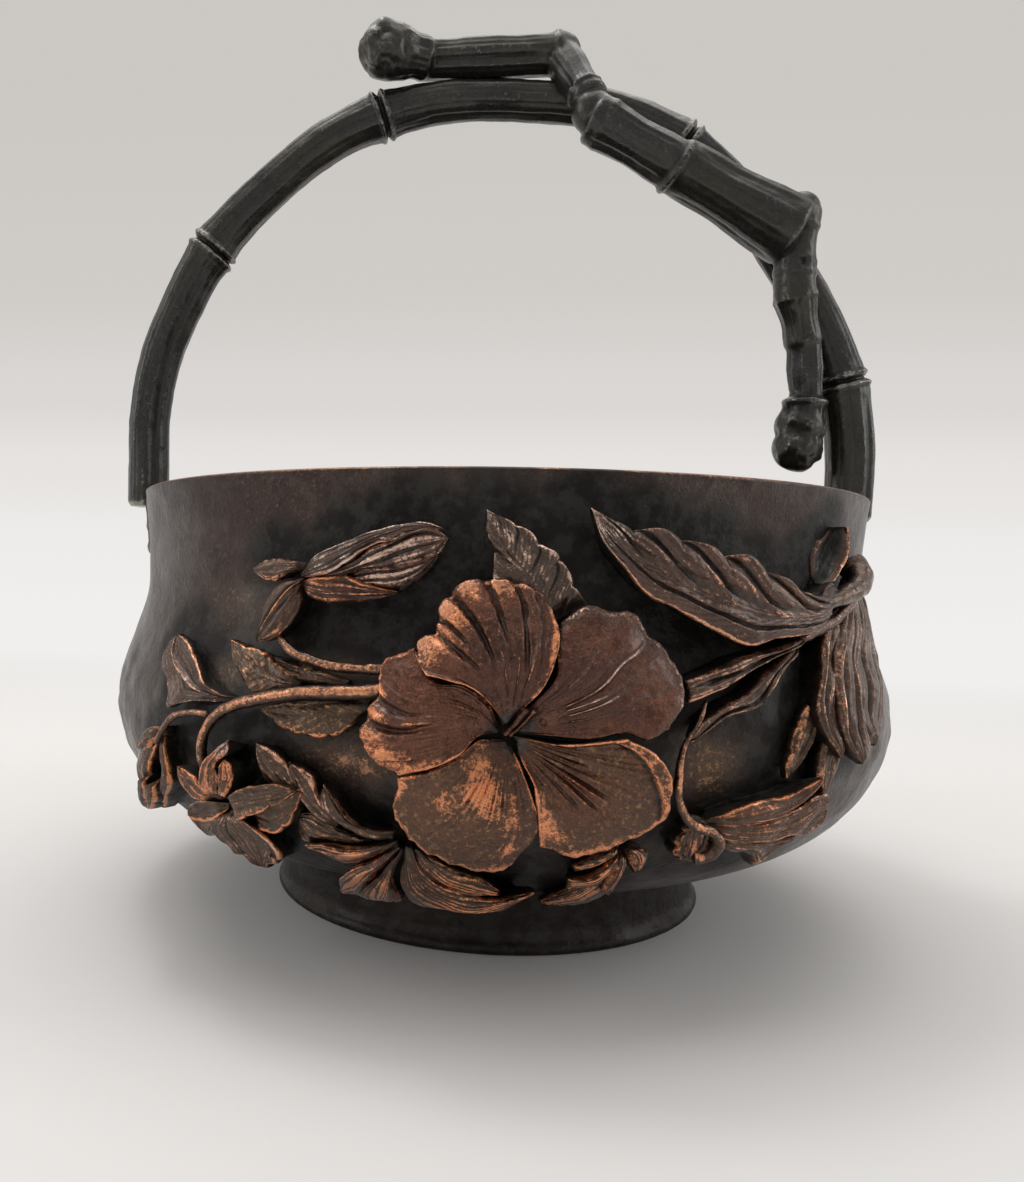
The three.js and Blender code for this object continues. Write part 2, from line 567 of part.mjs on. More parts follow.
function leafSolid({ lift, root, tip, bow, wide, widest, neck }, rows = 6, columns = 4) {
  const chord = new THREE.Vector2(tip[0] - root[0], tip[1] - root[1]);
  const length = chord.length();
  const side = new THREE.Vector2(-chord.y, chord.x).divideScalar(length);
  const bend = Math.log(0.5) / Math.log(widest);
  const place = (u, v) => {
    const rib = 4 * bow * u * (1 - u);
    const lean = (4 * bow * (1 - 2 * u)) / length;
    const spread = Math.max(Math.sin(Math.PI * u ** bend) ** ROUNDNESS, neck * (1 - u / widest), 0.03);
    const half = v < 0.5 ? -wide[1] * (1 - 2 * v) : wide[0] * (2 * v - 1);
    const out = half * (u === 1 ? 0.03 : spread);
    const spreadTo = side.clone().addScaledVector(chord, -lean / length).normalize();
    return [
      root[0] + chord.x * u + side.x * rib + spreadTo.x * out,
      root[1] + chord.y * u + side.y * rib + spreadTo.y * out,
    ];
  };
  const front = (u, v) => {
    const w = Math.abs(2 * v - 1);
    return lift + LEAF_PILLOW * (Math.sin(Math.PI * w) - 0.4) * Math.sin(Math.PI * u) - 0.15 * lift * bell(u, 0.2);
  };
  const back = (u, v) => {
    const w = Math.abs(2 * v - 1);
    const seat = smooth(0.95, 0.35, w) * smooth(0.95, 0.6, u);
    return mix(Math.max(GAP, front(u, v) - LEAF_EDGE), GAP, seat);
  };
  return slab(rows, columns, place, front, back);
}

// Stems: places along each as [across, up, height off the wall], with the radius at the root and at the end
const STEMS = [
  {
    name: "branch_left",
    radius: [1.9, 1.3],
    line: [[-19, 71, 6], [-37, 69.5, 6.5], [-52.5, 66, 6], [-60, 60.5, 5.5], [-62, 52, 5], [-60.5, 47.5, 4]],
  },
  { name: "stem_right", radius: [2.4, 2.2], line: [[98.5, 99, 6], [100, 95.5, 6.5], [96, 92.5, 7], [89, 90.8, 6]] },
  {
    name: "stem_bud_right",
    radius: [0.9, 1.9],
    line: [[43.5, 70.5, 4], [37, 62, 5.5], [36, 56.5, 6], [37.5, 51.5, 6], [43, 46.5, 6], [47, 43, 6], [43, 38.7, 4]],
  },
  { name: "stem_bud_left", radius: [1.3, 1.4], line: [[-46, 80.5, 5], [-41, 77.5, 6], [-32, 75.3, 6], [-20, 75, 6]] },
  { name: "stem_drop", radius: [0.9, 0.9], line: [[-61, 62.5, 4], [-66, 62.5, 5], [-71.5, 61, 5], [-77, 55, 5.5]] },
];

function stemSolid({ radius, line }) {
  const curve = spline(line.map(([across, up, height]) => onWall(across, up, height)));
  const outward = (centre) => new THREE.Vector3(centre.x, centre.y, 0);
  return tube(curve, (t) => mix(radius[0], radius[1], t), evenly(2 * line.length), 6, outward);
}

// Relief from front to back: what lies in front cuts its bed, with a gap, in what lies behind
function reliefSolids() {
  const flower = PETALS.map((petal) => [petal.name, petalSolid(petal)]);
  const small = SMALL_FLOWER.map((petal) => [petal.name, leafSolid(petal, 4, 4)]);
  const stems = STEMS.map((stem) => [stem.name, stemSolid(stem)]);
  const leaves = LEAVES.map((piece) => {
    const length = Math.hypot(piece.tip[0] - piece.root[0], piece.tip[1] - piece.root[1]);
    return [piece.name, leafSolid(piece, Math.min(10, 4 + Math.round(length / 12)), length > 40 ? 6 : 4)];
  });
  const lobed = Object.entries(LOBED_LEAVES).map(([name, lobes]) => [
    name,
    lobes.map((lobe) => leafSolid(lobe, 5, 2)).reduce((sum, lobe) => sum.add(lobe)),
  ]);
  const order = [["flower_stamen", stamenSolid()], ...flower, ...stems, ...small, ...leaves, ...lobed];
  const done = [];
  for (const [name, made] of order) {
    const box = made.boundingBox();
    const near = done.filter(({ limits }) =>
      [0, 1, 2].every((k) => limits.min[k] < box.max[k] && limits.max[k] > box.min[k]),
    );
    const cut = near.reduce((left, { cutter }) => left.subtract(cutter), made);
    const cutter = grown(made, 1.5 * GAP);
    done.push({ name, made: largest(cut), cutter, limits: cutter.boundingBox() });
  }
  return done;
}

// Assembly
const FINISHES = {
  bowl: { color: 0x3c3430, roughness: 0.5, metalness: 0.85 },
  handle: { color: 0x23211f, roughness: 0.45, metalness: 0.85 },
  flower: { color: 0x6a4232, roughness: 0.45, metalness: 0.9 },
  leaf: { color: 0x5a4436, roughness: 0.5, metalness: 0.9 },
};

const basket = new THREE.Group();

function addPiece(name, made, finish) {
  const mesh = new THREE.Mesh(geometryOf(made), new THREE.MeshStandardMaterial(FINISHES[finish]));
  mesh.name = name;
  basket.add(mesh);
}

const archEnds = { left: archPlace(-1, 0), right: archPlace(0.995, 0) };
const rivetSeats = Object.entries(archEnds).flatMap(([side, end]) =>
  RIVET_DROPS.map((drop, i) => [`handle_rivet_${side}_${i + 1}`, rivetSeat(end, drop)]),
);
const rivetHoles = rivetSeats.map(([, seat]) => rivetHole(seat)).reduce((sum, hole) => sum.add(hole));

const plainArch = archSolid();
const notchedArch = largest(plainArch.subtract(neckEnvelope()));
const arch = Object.values(archEnds).reduce((sum, end) => sum.add(tongue(end)), notchedArch).subtract(rivetHoles);

addPiece("bowl", bowlShell().subtract(rivetHoles), "bowl");
addPiece("foot_ring", footRing(), "bowl");
addPiece("handle_arch", arch, "handle");
addPiece("handle_branch", branchSolid(plainArch), "handle");
for (const [name, seat] of rivetSeats) addPiece(name, rivet(seat), "handle");
for (const { name, made } of reliefSolids())
  addPiece(name, made, /petal|stamen/.test(name) ? "flower" : "leaf");

// Origin at the bottom centre of the whole basket's box
const box = new THREE.Box3().setFromObject(basket, true);
basket.position.set(-(box.min.x + box.max.x) / 2, -(box.min.y + box.max.y) / 2, -box.min.z);

const part = new THREE.Group();
part.add(basket);
part.updateMatrixWorld(true);

export default part;
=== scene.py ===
import itertools
import math

import bpy
import numpy as np
from mathutils import Matrix, Vector, kdtree


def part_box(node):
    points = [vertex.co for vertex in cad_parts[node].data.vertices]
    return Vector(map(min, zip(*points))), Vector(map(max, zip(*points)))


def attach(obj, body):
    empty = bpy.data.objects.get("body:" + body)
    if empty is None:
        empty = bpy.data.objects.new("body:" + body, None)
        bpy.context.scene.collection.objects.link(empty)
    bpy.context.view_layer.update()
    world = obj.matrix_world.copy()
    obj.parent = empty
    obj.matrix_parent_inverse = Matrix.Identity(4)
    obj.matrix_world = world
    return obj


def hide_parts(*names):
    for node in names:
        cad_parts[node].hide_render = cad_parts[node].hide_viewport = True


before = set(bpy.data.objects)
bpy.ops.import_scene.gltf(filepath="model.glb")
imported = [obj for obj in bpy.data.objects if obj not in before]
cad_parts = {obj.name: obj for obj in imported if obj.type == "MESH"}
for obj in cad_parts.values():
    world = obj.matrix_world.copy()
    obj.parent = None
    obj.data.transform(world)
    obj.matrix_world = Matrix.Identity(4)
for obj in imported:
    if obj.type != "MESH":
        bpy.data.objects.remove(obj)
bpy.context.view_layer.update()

MM = 0.001

# Bowl and foot, in mm, as in the CAD part
RIM_RADIUS, RIM_HEIGHT = 105.0, 116.4
NECK_RADIUS, NECK_HEIGHT = 103.2, 92.0
BELLY_RADIUS, BELLY_HEIGHT = 111.2, 58.0
FOOT_RADIUS, FOOT_HEIGHT = 62.5, 17.7
WALL = 3.0
LIP = 0.9
UNDERSIDE_FULLNESS = 0.57
MOST_STRETCH = 2.4

bowl_low, bowl_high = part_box("bowl")
AXIS = Vector(((bowl_low.x + bowl_high.x) / 2, (bowl_low.y + bowl_high.y) / 2, 0)) / MM


def smooth(low, high, x):
    t = np.clip((np.asarray(x, float) - low) / (high - low), 0, 1)
    return t * t * (3 - 2 * t)


def mix(a, b, t):
    return a + (b - a) * t


def bell(x, width):
    return np.exp(-((np.asarray(x, float) / width) ** 2))


def highest(*values):
    return np.max(np.broadcast_arrays(*values), axis=0)


def unit(a, least=1e-12):
    return a / np.maximum(np.linalg.norm(a, axis=-1, keepdims=True), least)


def wall_radius(z):
    z = np.asarray(z, float)
    t = np.clip((z - FOOT_HEIGHT) / (BELLY_HEIGHT - FOOT_HEIGHT), 0, 1)
    under = mix(FOOT_RADIUS, BELLY_RADIUS, (1 - (1 - t) ** 2) ** UNDERSIDE_FULLNESS)
    t = (z - BELLY_HEIGHT) / (NECK_HEIGHT - BELLY_HEIGHT)
    neck = mix(NECK_RADIUS, BELLY_RADIUS, (1 + np.cos(np.pi * np.clip(t, 0, 1))) / 2)
    t = np.maximum((z - NECK_HEIGHT) / (RIM_HEIGHT - NECK_HEIGHT), 0)
    rim = mix(NECK_RADIUS, RIM_RADIUS, t * t)
    return np.where(z <= BELLY_HEIGHT, under, np.where(z <= NECK_HEIGHT, neck, rim))


def wall_slope(z, step=0.4):
    low = np.maximum(z - step, FOOT_HEIGHT)
    return (wall_radius(z + step) - wall_radius(low)) / (z + step - low)


def on_wall(across, up, height):
    """Point over the bowl: mm round the belly from the front, height of the place, lift off the wall."""
    across, up, height = np.broadcast_arrays(across, up, height)
    angle = across / BELLY_RADIUS
    r = wall_radius(up) + height * np.minimum(np.hypot(1, wall_slope(up)), MOST_STRETCH)
    return np.stack([r * np.sin(angle), -r * np.cos(angle), up], -1)


def noise(p, size, seed=0):
    """Smooth value noise of points p, from -1 to 1, with cells of the given size."""
    q = np.asarray(p, float) / size + seed * 7.31
    cell = np.floor(q).astype(np.int64)
    f = q - cell
    f = f * f * (3 - 2 * f)
    total = 0
    for corner in itertools.product((0, 1), repeat=3):
        x, y, z = np.moveaxis(cell + corner, -1, 0)
        n = x * 73856093 ^ y * 19349663 ^ z * 83492791
        n = (n ^ (n >> 13)) * 1274126177 & 0x7FFFFFFF
        n = ((n ^ (n >> 15)) & 0xFFFF) / 32767.5 - 1
        total = total + n * np.where(corner, f, 1 - f).prod(-1)
    return total


def path(text):
    """Points from text in which each is numbers joined by commas."""
    return np.array([point.split(",") for point in text.split()], float)


def paths(text):
    return [path(part) for part in text.split("/")]


def along(points, u):
    """A smooth curve through the points, at the shares u of its length."""
    p = np.asarray(points, float)
    h = np.linalg.norm(np.diff(p, axis=0), axis=1)
    s = np.r_[0, np.cumsum(h)]
    slope = np.diff(p, axis=0) / h[:, None]
    m = np.concatenate([slope[:1], slope[:1], slope[1:]])
    m[1:-1] = (slope[:-1] * h[1:, None] + slope[1:] * h[:-1, None]) / (h[:-1] + h[1:])[:, None]
    x = np.clip(np.asarray(u, float), 0, 1) * s[-1]
    k = np.clip(np.searchsorted(s, x, side="right") - 1, 0, len(h) - 1)
    t, h = ((x - s[k]) / h[k])[..., None], h[k][..., None]
    a = (1 + 2 * t) * (1 - t) ** 2 * p[k] + t * (1 - t) ** 2 * h * m[k]
    return a + t * t * (3 - 2 * t) * p[k + 1] + t * t * (t - 1) * h * m[k + 1]


def link(name, data):
    made = bpy.data.objects.new(name, data)
    bpy.context.scene.collection.objects.link(made)
    return made


# Camera: close to the bowl, low, and a little turned. Focal length, principal point and photograph height in
# px
FOCAL, MIDDLE_X, PRINCIPAL_X, PHOTO_HEIGHT, SENSOR = 950, 512, 384, 1182, 36
CAMERA_PLACE = (0, -298.54, 94.22)


def camera():
    yaw, pitch, roll = (math.radians(angle) for angle in (-6.39, -1.10, -1.40))
    forward = Vector((math.sin(yaw) * math.cos(pitch), math.cos(yaw) * math.cos(pitch), math.sin(pitch)))
    level = Vector((math.cos(yaw), -math.sin(yaw), 0))
    down = forward.cross(level)
    right = math.cos(roll) * level + math.sin(roll) * down
    down = -math.sin(roll) * level + math.cos(roll) * down
    data = bpy.data.cameras.new("camera")
    data.sensor_width = SENSOR
    data.lens = FOCAL * SENSOR / PHOTO_HEIGHT
    data.shift_x = (MIDDLE_X - PRINCIPAL_X) / PHOTO_HEIGHT
    data.clip_start = 0.01
    view = link("camera", data)
    turn = Matrix((right, -down, -forward)).transposed()
    view.matrix_world = Matrix.Translation((AXIS + Vector(CAMERA_PLACE)) * MM) @ turn.to_4x4()
    bpy.context.scene.camera = view


camera()


# Meshes
def quads(rows, columns, closed=True):
    """The faces between rows of points, each row a loop where it is closed."""
    i, j = np.meshgrid(np.arange(rows - 1), np.arange(columns if closed else columns - 1), indexing="ij")
    k = (j + 1) % columns
    corners = i * columns + j, i * columns + k, (i + 1) * columns + k, (i + 1) * columns + j
    return np.stack(corners, -1).reshape(-1, 4)


def neighbours(faces):
    pairs = np.concatenate([faces[:, [k, (k + 1) % 4]] for k in range(4)])
    pairs = np.unique(np.sort(pairs, axis=1), axis=0)
    pairs = pairs[pairs[:, 0] != pairs[:, 1]]
    return np.concatenate([pairs[:, 0], pairs[:, 1]]), np.concatenate([pairs[:, 1], pairs[:, 0]])


def normals(points, faces):
    a, b, c, d = (points[faces[:, k]] for k in range(4))
    n = np.cross(c - a, d - b)
    out = np.zeros_like(points)
    for k, axis in itertools.product(range(4), range(3)):
        out[:, axis] += np.bincount(faces[:, k], n[:, axis], len(points))
    return unit(out)


def outward(points, faces):
    """The points, and the faces turned over where they look into the solid."""
    a, b, c, d = (points[faces[:, k]] for k in range(4))
    volume = (a * np.cross(b, c)).sum() + (a * np.cross(c, d)).sum()
    return points, faces if volume > 0 else faces[:, ::-1]


def relaxed(points, faces, rounds):
    start, end = neighbours(faces)
    count = np.maximum(np.bincount(start, minlength=len(points)), 1)[:, None]
    q = points.copy()
    for _ in range(rounds):
        mean = np.stack([np.bincount(start, q[end, axis], len(points)) for axis in range(3)], -1) / count
        q = 0.4 * q + 0.6 * mean
    return q


def ridges(points, faces, reach=1.0):
    """How far each point stands proud of its surroundings, in mm: above 0 on ridges, below 0 in grooves."""
    start, end = neighbours(faces)
    spacing = np.median(np.linalg.norm(points[start] - points[end], axis=1))
    rounds = int(np.clip((reach / spacing) ** 2 * 3, 2, 40))
    return ((points - relaxed(points, faces, rounds)) * normals(points, faces)).sum(1)


def roughened(points, faces, *layers):
    """The points moved along their normals by layers of noise: (height, cell size, seed)."""
    height = sum(height * noise(points, size, seed) for height, size, seed in layers)
    return points + normals(points, faces) * height[:, None]


def joined(parts):
    """The points and faces of several parts together."""
    starts = np.cumsum([0] + [len(points) for points, *_ in parts])
    return (np.concatenate([part[0] for part in parts]),
            np.concatenate([part[1] + start for part, start in zip(parts, starts)]))


def mesh_of(name, points, faces):
    """A mesh of faces with four corners, where a corner that comes twice makes a triangle."""
    mesh = bpy.data.meshes.new(name)
    mesh.from_pydata(points.tolist(), [], [list(dict.fromkeys(face)) for face in faces.tolist()])
    mesh.polygons.foreach_set("use_smooth", np.ones(len(mesh.polygons), bool))
    return mesh


def piece(node, points, faces, material, values):
    """One closed piece of the basket, in mm from the bowl's axis, that stands for a CAD node."""
    mesh = mesh_of(node, (points + np.array(AXIS)) * MM, faces)
    for key, value in values.items():
        layer = mesh.attributes.new(key, "FLOAT", "POINT")
        layer.data.foreach_set("value", np.asarray(value, np.float32))
    mesh.materials.append(material)
    mesh.update()
    made = link(node, mesh)
    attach(made, "root")
    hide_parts(node)


def add(node, *parts):
    """Adds one piece of parts that are grown together as one casting: (points, faces, material, values)."""
    values = {key: np.concatenate([part[3][key] for part in parts]) for key in parts[0][3]}
    piece(node, *joined(parts), parts[0][2], values)


def revolve(profile, segments):
    """A closed turned surface of a profile that starts and ends on the axis, or is itself a loop."""
    profile = np.asarray(profile, float)
    turn = np.linspace(0, 2 * np.pi, segments, endpoint=False)
    r, z = profile[:, :1], profile[:, 1:]
    points = np.stack([r * np.sin(turn), -r * np.cos(turn), z + 0 * turn], -1).reshape(-1, 3)
    return outward(points, quads(len(profile), segments))


def tube(centres, radii, sides, facing, shape=None):
    """A closed tube through the centres. shape(turn, station) is added to its radius round the section."""
    n = len(centres)
    way = unit(np.gradient(centres, axis=0))
    first = unit(facing - (facing * way).sum(1)[:, None] * way)
    second = np.cross(way, first)
    turn = np.linspace(0, 2 * np.pi, sides, endpoint=False)
    r = np.asarray(radii, float)[:, None] * np.ones(sides)
    if shape is not None:
        r = r + shape(turn[None, :], np.linspace(0, 1, n)[:, None])
    out = first[:, None] * np.cos(turn)[None, :, None] + second[:, None] * np.sin(turn)[None, :, None]
    points = (centres[:, None] + out * r[..., None]).reshape(-1, 3)
    j = np.arange(sides)
    k = (j + 1) % sides
    low = np.stack([np.full(sides, len(points)), k, j, j], -1)
    j, k = j + (n - 1) * sides, k + (n - 1) * sides
    high = np.stack([np.full(sides, len(points) + 1), j, k, k], -1)
    points = np.concatenate([points, centres[:1], centres[-1:]])
    return outward(points, np.concatenate([quads(n, sides), low, high]))


# Materials
# The grey of the patina, which also lies under the painted silvery highlight of rubbed places.
GREY_PATINA_AND_SHEEN = (0.110, 0.080, 0.066)
# Painted highlight: the silvery white that rubbed places take where the patina is grey.
PAINTED_SILVER_SHEEN = (0.66, 0.52, 0.44)
KHAKI, BRIGHT_KHAKI = (0.096, 0.056, 0.034), (0.33, 0.19, 0.085)


def bronze(name, dark, ground, red, worn, *, rub, grain, rough, olive=0.0, metallic=0.85, pits=0.0,
           moss=(0.034, 0.033, 0.030), wax=0.3):
    """Patinated bronze: dark in the grooves, mottled on the ground, rubbed to bright metal on the ridges.

    The mesh gives five values: ridge (how proud a place stands), edge (1 where it is rubbed bright), shade
    (1 where shade is painted in), tone (1 where the patina is olive) and a fifth value for the grey patina
    and painted sheen (1 where the patina is grey and its rubbed places are painted as a silvery highlight).
    """
    material = bpy.data.materials.new(name)
    material.use_nodes = True
    nodes, links = material.node_tree.nodes, material.node_tree.links
    shader = nodes["Principled BSDF"].inputs
    shader["Metallic"].default_value = metallic
    shader["Coat Weight"].default_value = wax
    shader["Coat Roughness"].default_value = 0.13

    def new(kind, **settings):
        made = nodes.new(kind)
        for key, value in settings.items():
            if key in made.inputs:
                made.inputs[key].default_value = value
            else:
                setattr(made, key, value)
        return made

    place = new("ShaderNodeTexCoord").outputs["Object"]

    def clouds(scale, detail, roughness, distortion=0.0):
        made = new("ShaderNodeTexNoise", Scale=scale, Detail=detail, Roughness=roughness,
                   Distortion=distortion)
        links.new(place, made.inputs["Vector"])
        return made.outputs["Fac"]

    def fill(sockets, terms):
        for socket, term in zip(sockets, terms):
            if isinstance(term, (int, float)):
                socket.default_value = term
            elif isinstance(term, tuple):
                socket.default_value = (*term, 1)
            else:
                links.new(term, socket)

    def do(operation, *terms, clamp=False):
        made = new("ShaderNodeMath", operation=operation, use_clamp=clamp)
        fill(made.inputs, terms)
        return made.outputs[0]

    def weigh(total, *terms):
        """A total with each source added times its weight."""
        for source, weight in terms:
            total = do("MULTIPLY_ADD", source, weight, total)
        return total

    def ramp(source, low, high, to_low=0.0, to_high=1.0):
        made = new("ShaderNodeMapRange", interpolation_type="SMOOTHSTEP")
        fill(made.inputs, (source, low, high, to_low, to_high))
        return made.outputs["Result"]

    def blend(a, b, by):
        made = new("ShaderNodeMix", data_type="RGBA")
        fill((made.inputs[6], made.inputs[7], made.inputs[0]), (a, b, by))
        return made.outputs[2]

    big, middle = clouds(42, 6, 0.62, 0.4), clouds(210, 6, 0.68)
    small, fine = clouds(900, 4, 0.7), clouds(2600, 2, 0.6)
    ridge, edge, shade, tone, pale = (new("ShaderNodeAttribute", attribute_name=key).outputs["Fac"]
                                      for key in ("ridge", "edge", "shade", "tone", "pale"))
    colour = blend(ground, red, ramp(big, 0.42, 0.58))
    # Grey patina; the same value paints rubbed places silvery further down, a painted highlight.
    colour = blend(colour, GREY_PATINA_AND_SHEEN, do("MULTIPLY", pale, 0.8))
    colour = blend(colour, dark, ramp(middle, 0.48, 0.72, 0, 0.5))
    colour = blend(colour, tuple(1.7 * c + 0.012 for c in ground), ramp(small, 0.54, 0.7, 0, 0.45))
    if olive:
        patch = ramp(clouds(75, 6, 0.72), 0.28, 0.5)
        khaki = blend(KHAKI, BRIGHT_KHAKI, ramp(small, 0.52, 0.66))
        colour = blend(colour, khaki, do("MULTIPLY", do("MULTIPLY", patch, tone), olive))
    colour = blend(colour, dark, ramp(fine, 0.52, 0.66, 0, 0.5))
    # Grooves darken as patina does in recesses, and the shade value adds painted shade.
    hollow_patina_and_shade = do("MAXIMUM", ramp(do("MULTIPLY", ridge, -1.0), 0.03, 0.28), shade)
    colour = blend(colour, blend(dark, moss, ramp(middle, 0.42, 0.6)), hollow_patina_and_shade)
    bright = weigh(-1.9, (small, 1.5), (fine, 1.1), (middle, 1.2), (ridge, 1.6 * rub), (edge, rub),
                   (shade, -1.2))
    bright = ramp(bright, 0.32, 0.85)
    # Rubbed places take the worn colour, and where the patina is grey the silvery white of a painted
    # highlight.
    links.new(blend(colour, blend(worn, PAINTED_SILVER_SHEEN, pale), bright), shader["Base Color"])
    gloss = weigh(rough[0] - 0.375, (small, 0.35), (big, 0.4), (bright, rough[1] - rough[0]))
    links.new(do("MULTIPLY_ADD", hollow_patina_and_shade, 0.25, gloss, clamp=True), shader["Roughness"])
    height = weigh(0.0, (small, 0.07 * grain), (middle, 0.22 * grain), (fine, 0.02 * grain))
    if pits:
        cells = new("ShaderNodeTexVoronoi", Scale=620.0)
        links.new(place, cells.inputs["Vector"])
        dips = do("MULTIPLY", ramp(cells.outputs["Distance"], 0.1, 0.3),
                  ramp(middle, 0.4, 0.6, 0.0, 0.16 * pits))
        height = do("ADD", height, dips)
    bump = new("ShaderNodeBump", Strength=1.0, Distance=MM)
    links.new(height, bump.inputs["Height"])
    links.new(bump.outputs["Normal"], shader["Normal"])
    return material


BOWL = bronze("bowl_bronze", (0.010, 0.009, 0.009), (0.078, 0.057, 0.048), (0.046, 0.029, 0.024),
              (0.42, 0.20, 0.11), rub=0.62, grain=1.1, rough=(0.36, 0.28), metallic=0.8, olive=0.95, pits=0.6,
              wax=0.1)
HANDLE = bronze("handle_bronze", (0.008, 0.008, 0.008), (0.046, 0.045, 0.042), (0.052, 0.048, 0.038),
                (0.23, 0.22, 0.185), rub=1.1, grain=1.2, rough=(0.34, 0.26), metallic=0.75, wax=0.2)
FLOWER = bronze("flower_bronze", (0.011, 0.008, 0.007), (0.146, 0.057, 0.032), (0.098, 0.041, 0.027),
                (0.74, 0.28, 0.125), rub=1.0, grain=0.9, rough=(0.30, 0.20), olive=0.95, pits=1.0,
                moss=(0.062, 0.068, 0.060))
LEAF = bronze("leaf_bronze", (0.010, 0.008, 0.007), (0.128, 0.070, 0.048), (0.090, 0.048, 0.035),
              (0.70, 0.28, 0.125), rub=0.9, grain=0.65, rough=(0.29, 0.20), olive=0.95, pits=0.5,
              moss=(0.036, 0.038, 0.034))


# Relief: closed shells on the wall. place(u, v) gives across and up, front(u, v) the lift of the front face.
relief_points = []


def none(u, v):
    return 0 * u


def relief(name, place, front, size, thick, material, tone=0.0, shade=none, rub=none, rim=0.8, pale=none):
    """A closed shell with the given front face, a rounded edge, an undercut side and a foot in the wall."""
    nu, nv = size
    u, v = np.meshgrid(np.linspace(0, 1, nu + 1), np.linspace(0, 1, nv + 1), indexing="ij")
    across, up = place(u, v)
    flat = np.stack([across, up], -1)
    sides = flat[:, :1], flat[:, -1:], flat[-1:]
    border = np.min([np.linalg.norm(flat - side, axis=-1) for side in sides], axis=0)
    patchy = 1 + 0.7 * noise(on_wall(across, up, 0), 2.6, len(name))
    edge = np.maximum(rim * patchy * bell(border, 0.5), rub(u, v))
    points = [on_wall(across, up, front(u, v) - 0.35 * bell(border, 0.35)).reshape(-1, 3)]
    edges, shades, faces = [edge.ravel()], [shade(u, v).ravel()], [quads(nu + 1, nv + 1, closed=False)]
    loop = [(a, 0) for a in range(nu)] + [(nu, b) for b in range(nv)]
    loop = np.array(loop + [(a, nv) for a in range(nu, 0, -1)] + [(0, b) for b in range(nv, 0, -1)])
    lu, lv = (loop / size).T

    def inset(k):
        return np.stack(place(0.5 + (lu - 0.5) * (1 - k), 0.5 + (lv - 0.5) * (1 - k)), -1)

    outline = inset(0)
    out = unit(outline - inset(0.12), 1e-6)
    worn = edge[loop[:, 0], loop[:, 1]]
    top = front(lu, lv) - 0.35
    # Down the undercut side the rings are painted in shade, darker the deeper they go, and lose their rubbed
    # brightness.
    rings = [
        (outline + out * 0.16, top - 0.16 * thick, worn, 0.0),
        (outline + out * 0.22, top - 0.42 * thick, 0.45 * worn, 0.3),
        (outline + out * 0.10, top - 0.75 * thick, 0.0, 0.85),
        (outline * 0.8 + inset(0.12) * 0.2, np.maximum(top - 1.3 * thick, 0.45 * top), 0.0, 0.9),
        (inset(0.2), 0.25 * top, 0.0, 1.0),
        (inset(0.26), -1.0, 0.0, 1.0),
    ]
    last, base = loop @ (nv + 1, 1), border.size
    for spots, height, on_edge, in_shade in rings:
        points.append(on_wall(*spots.T, height))
        edges.append(on_edge + 0 * lu)
        shades.append(in_shade + 0 * lu)
        this = base + np.arange(len(loop))
        faces.append(np.stack([last, this, np.roll(this, -1), np.roll(last, -1)], -1)[:, ::-1])
        last, base = this, base + len(loop)
    middle = place(np.array([0.5]), np.array([0.5]))
    points.append(on_wall(*middle, -1.0))
    edges.append([0.0])
    shades.append([1.0])
    faces.append(np.stack([np.full(len(loop), base), np.roll(last, -1), last, last], -1))
    points, faces = outward(np.concatenate(points), np.concatenate(faces))
    proud = np.minimum(ridges(points, faces), 0.45)[:border.size]
    proud = np.where(proud > 0, proud * smooth(0.1, 1.2, border.ravel()), proud)
    behind = np.zeros(len(points) - border.size)
    relief_points.append(on_wall(across, up, 0 * up)[::3, ::3].reshape(-1, 3))
    values = {"ridge": np.r_[proud, behind], "edge": np.concatenate(edges), "shade": np.concatenate(shades),
              "tone": np.full(len(points), tone), "pale": np.r_[pale(u, v).ravel(), behind]}
    return roughened(points, faces, (0.12, 3.1, 3), (0.08, 1.3, 5)), faces, material, values


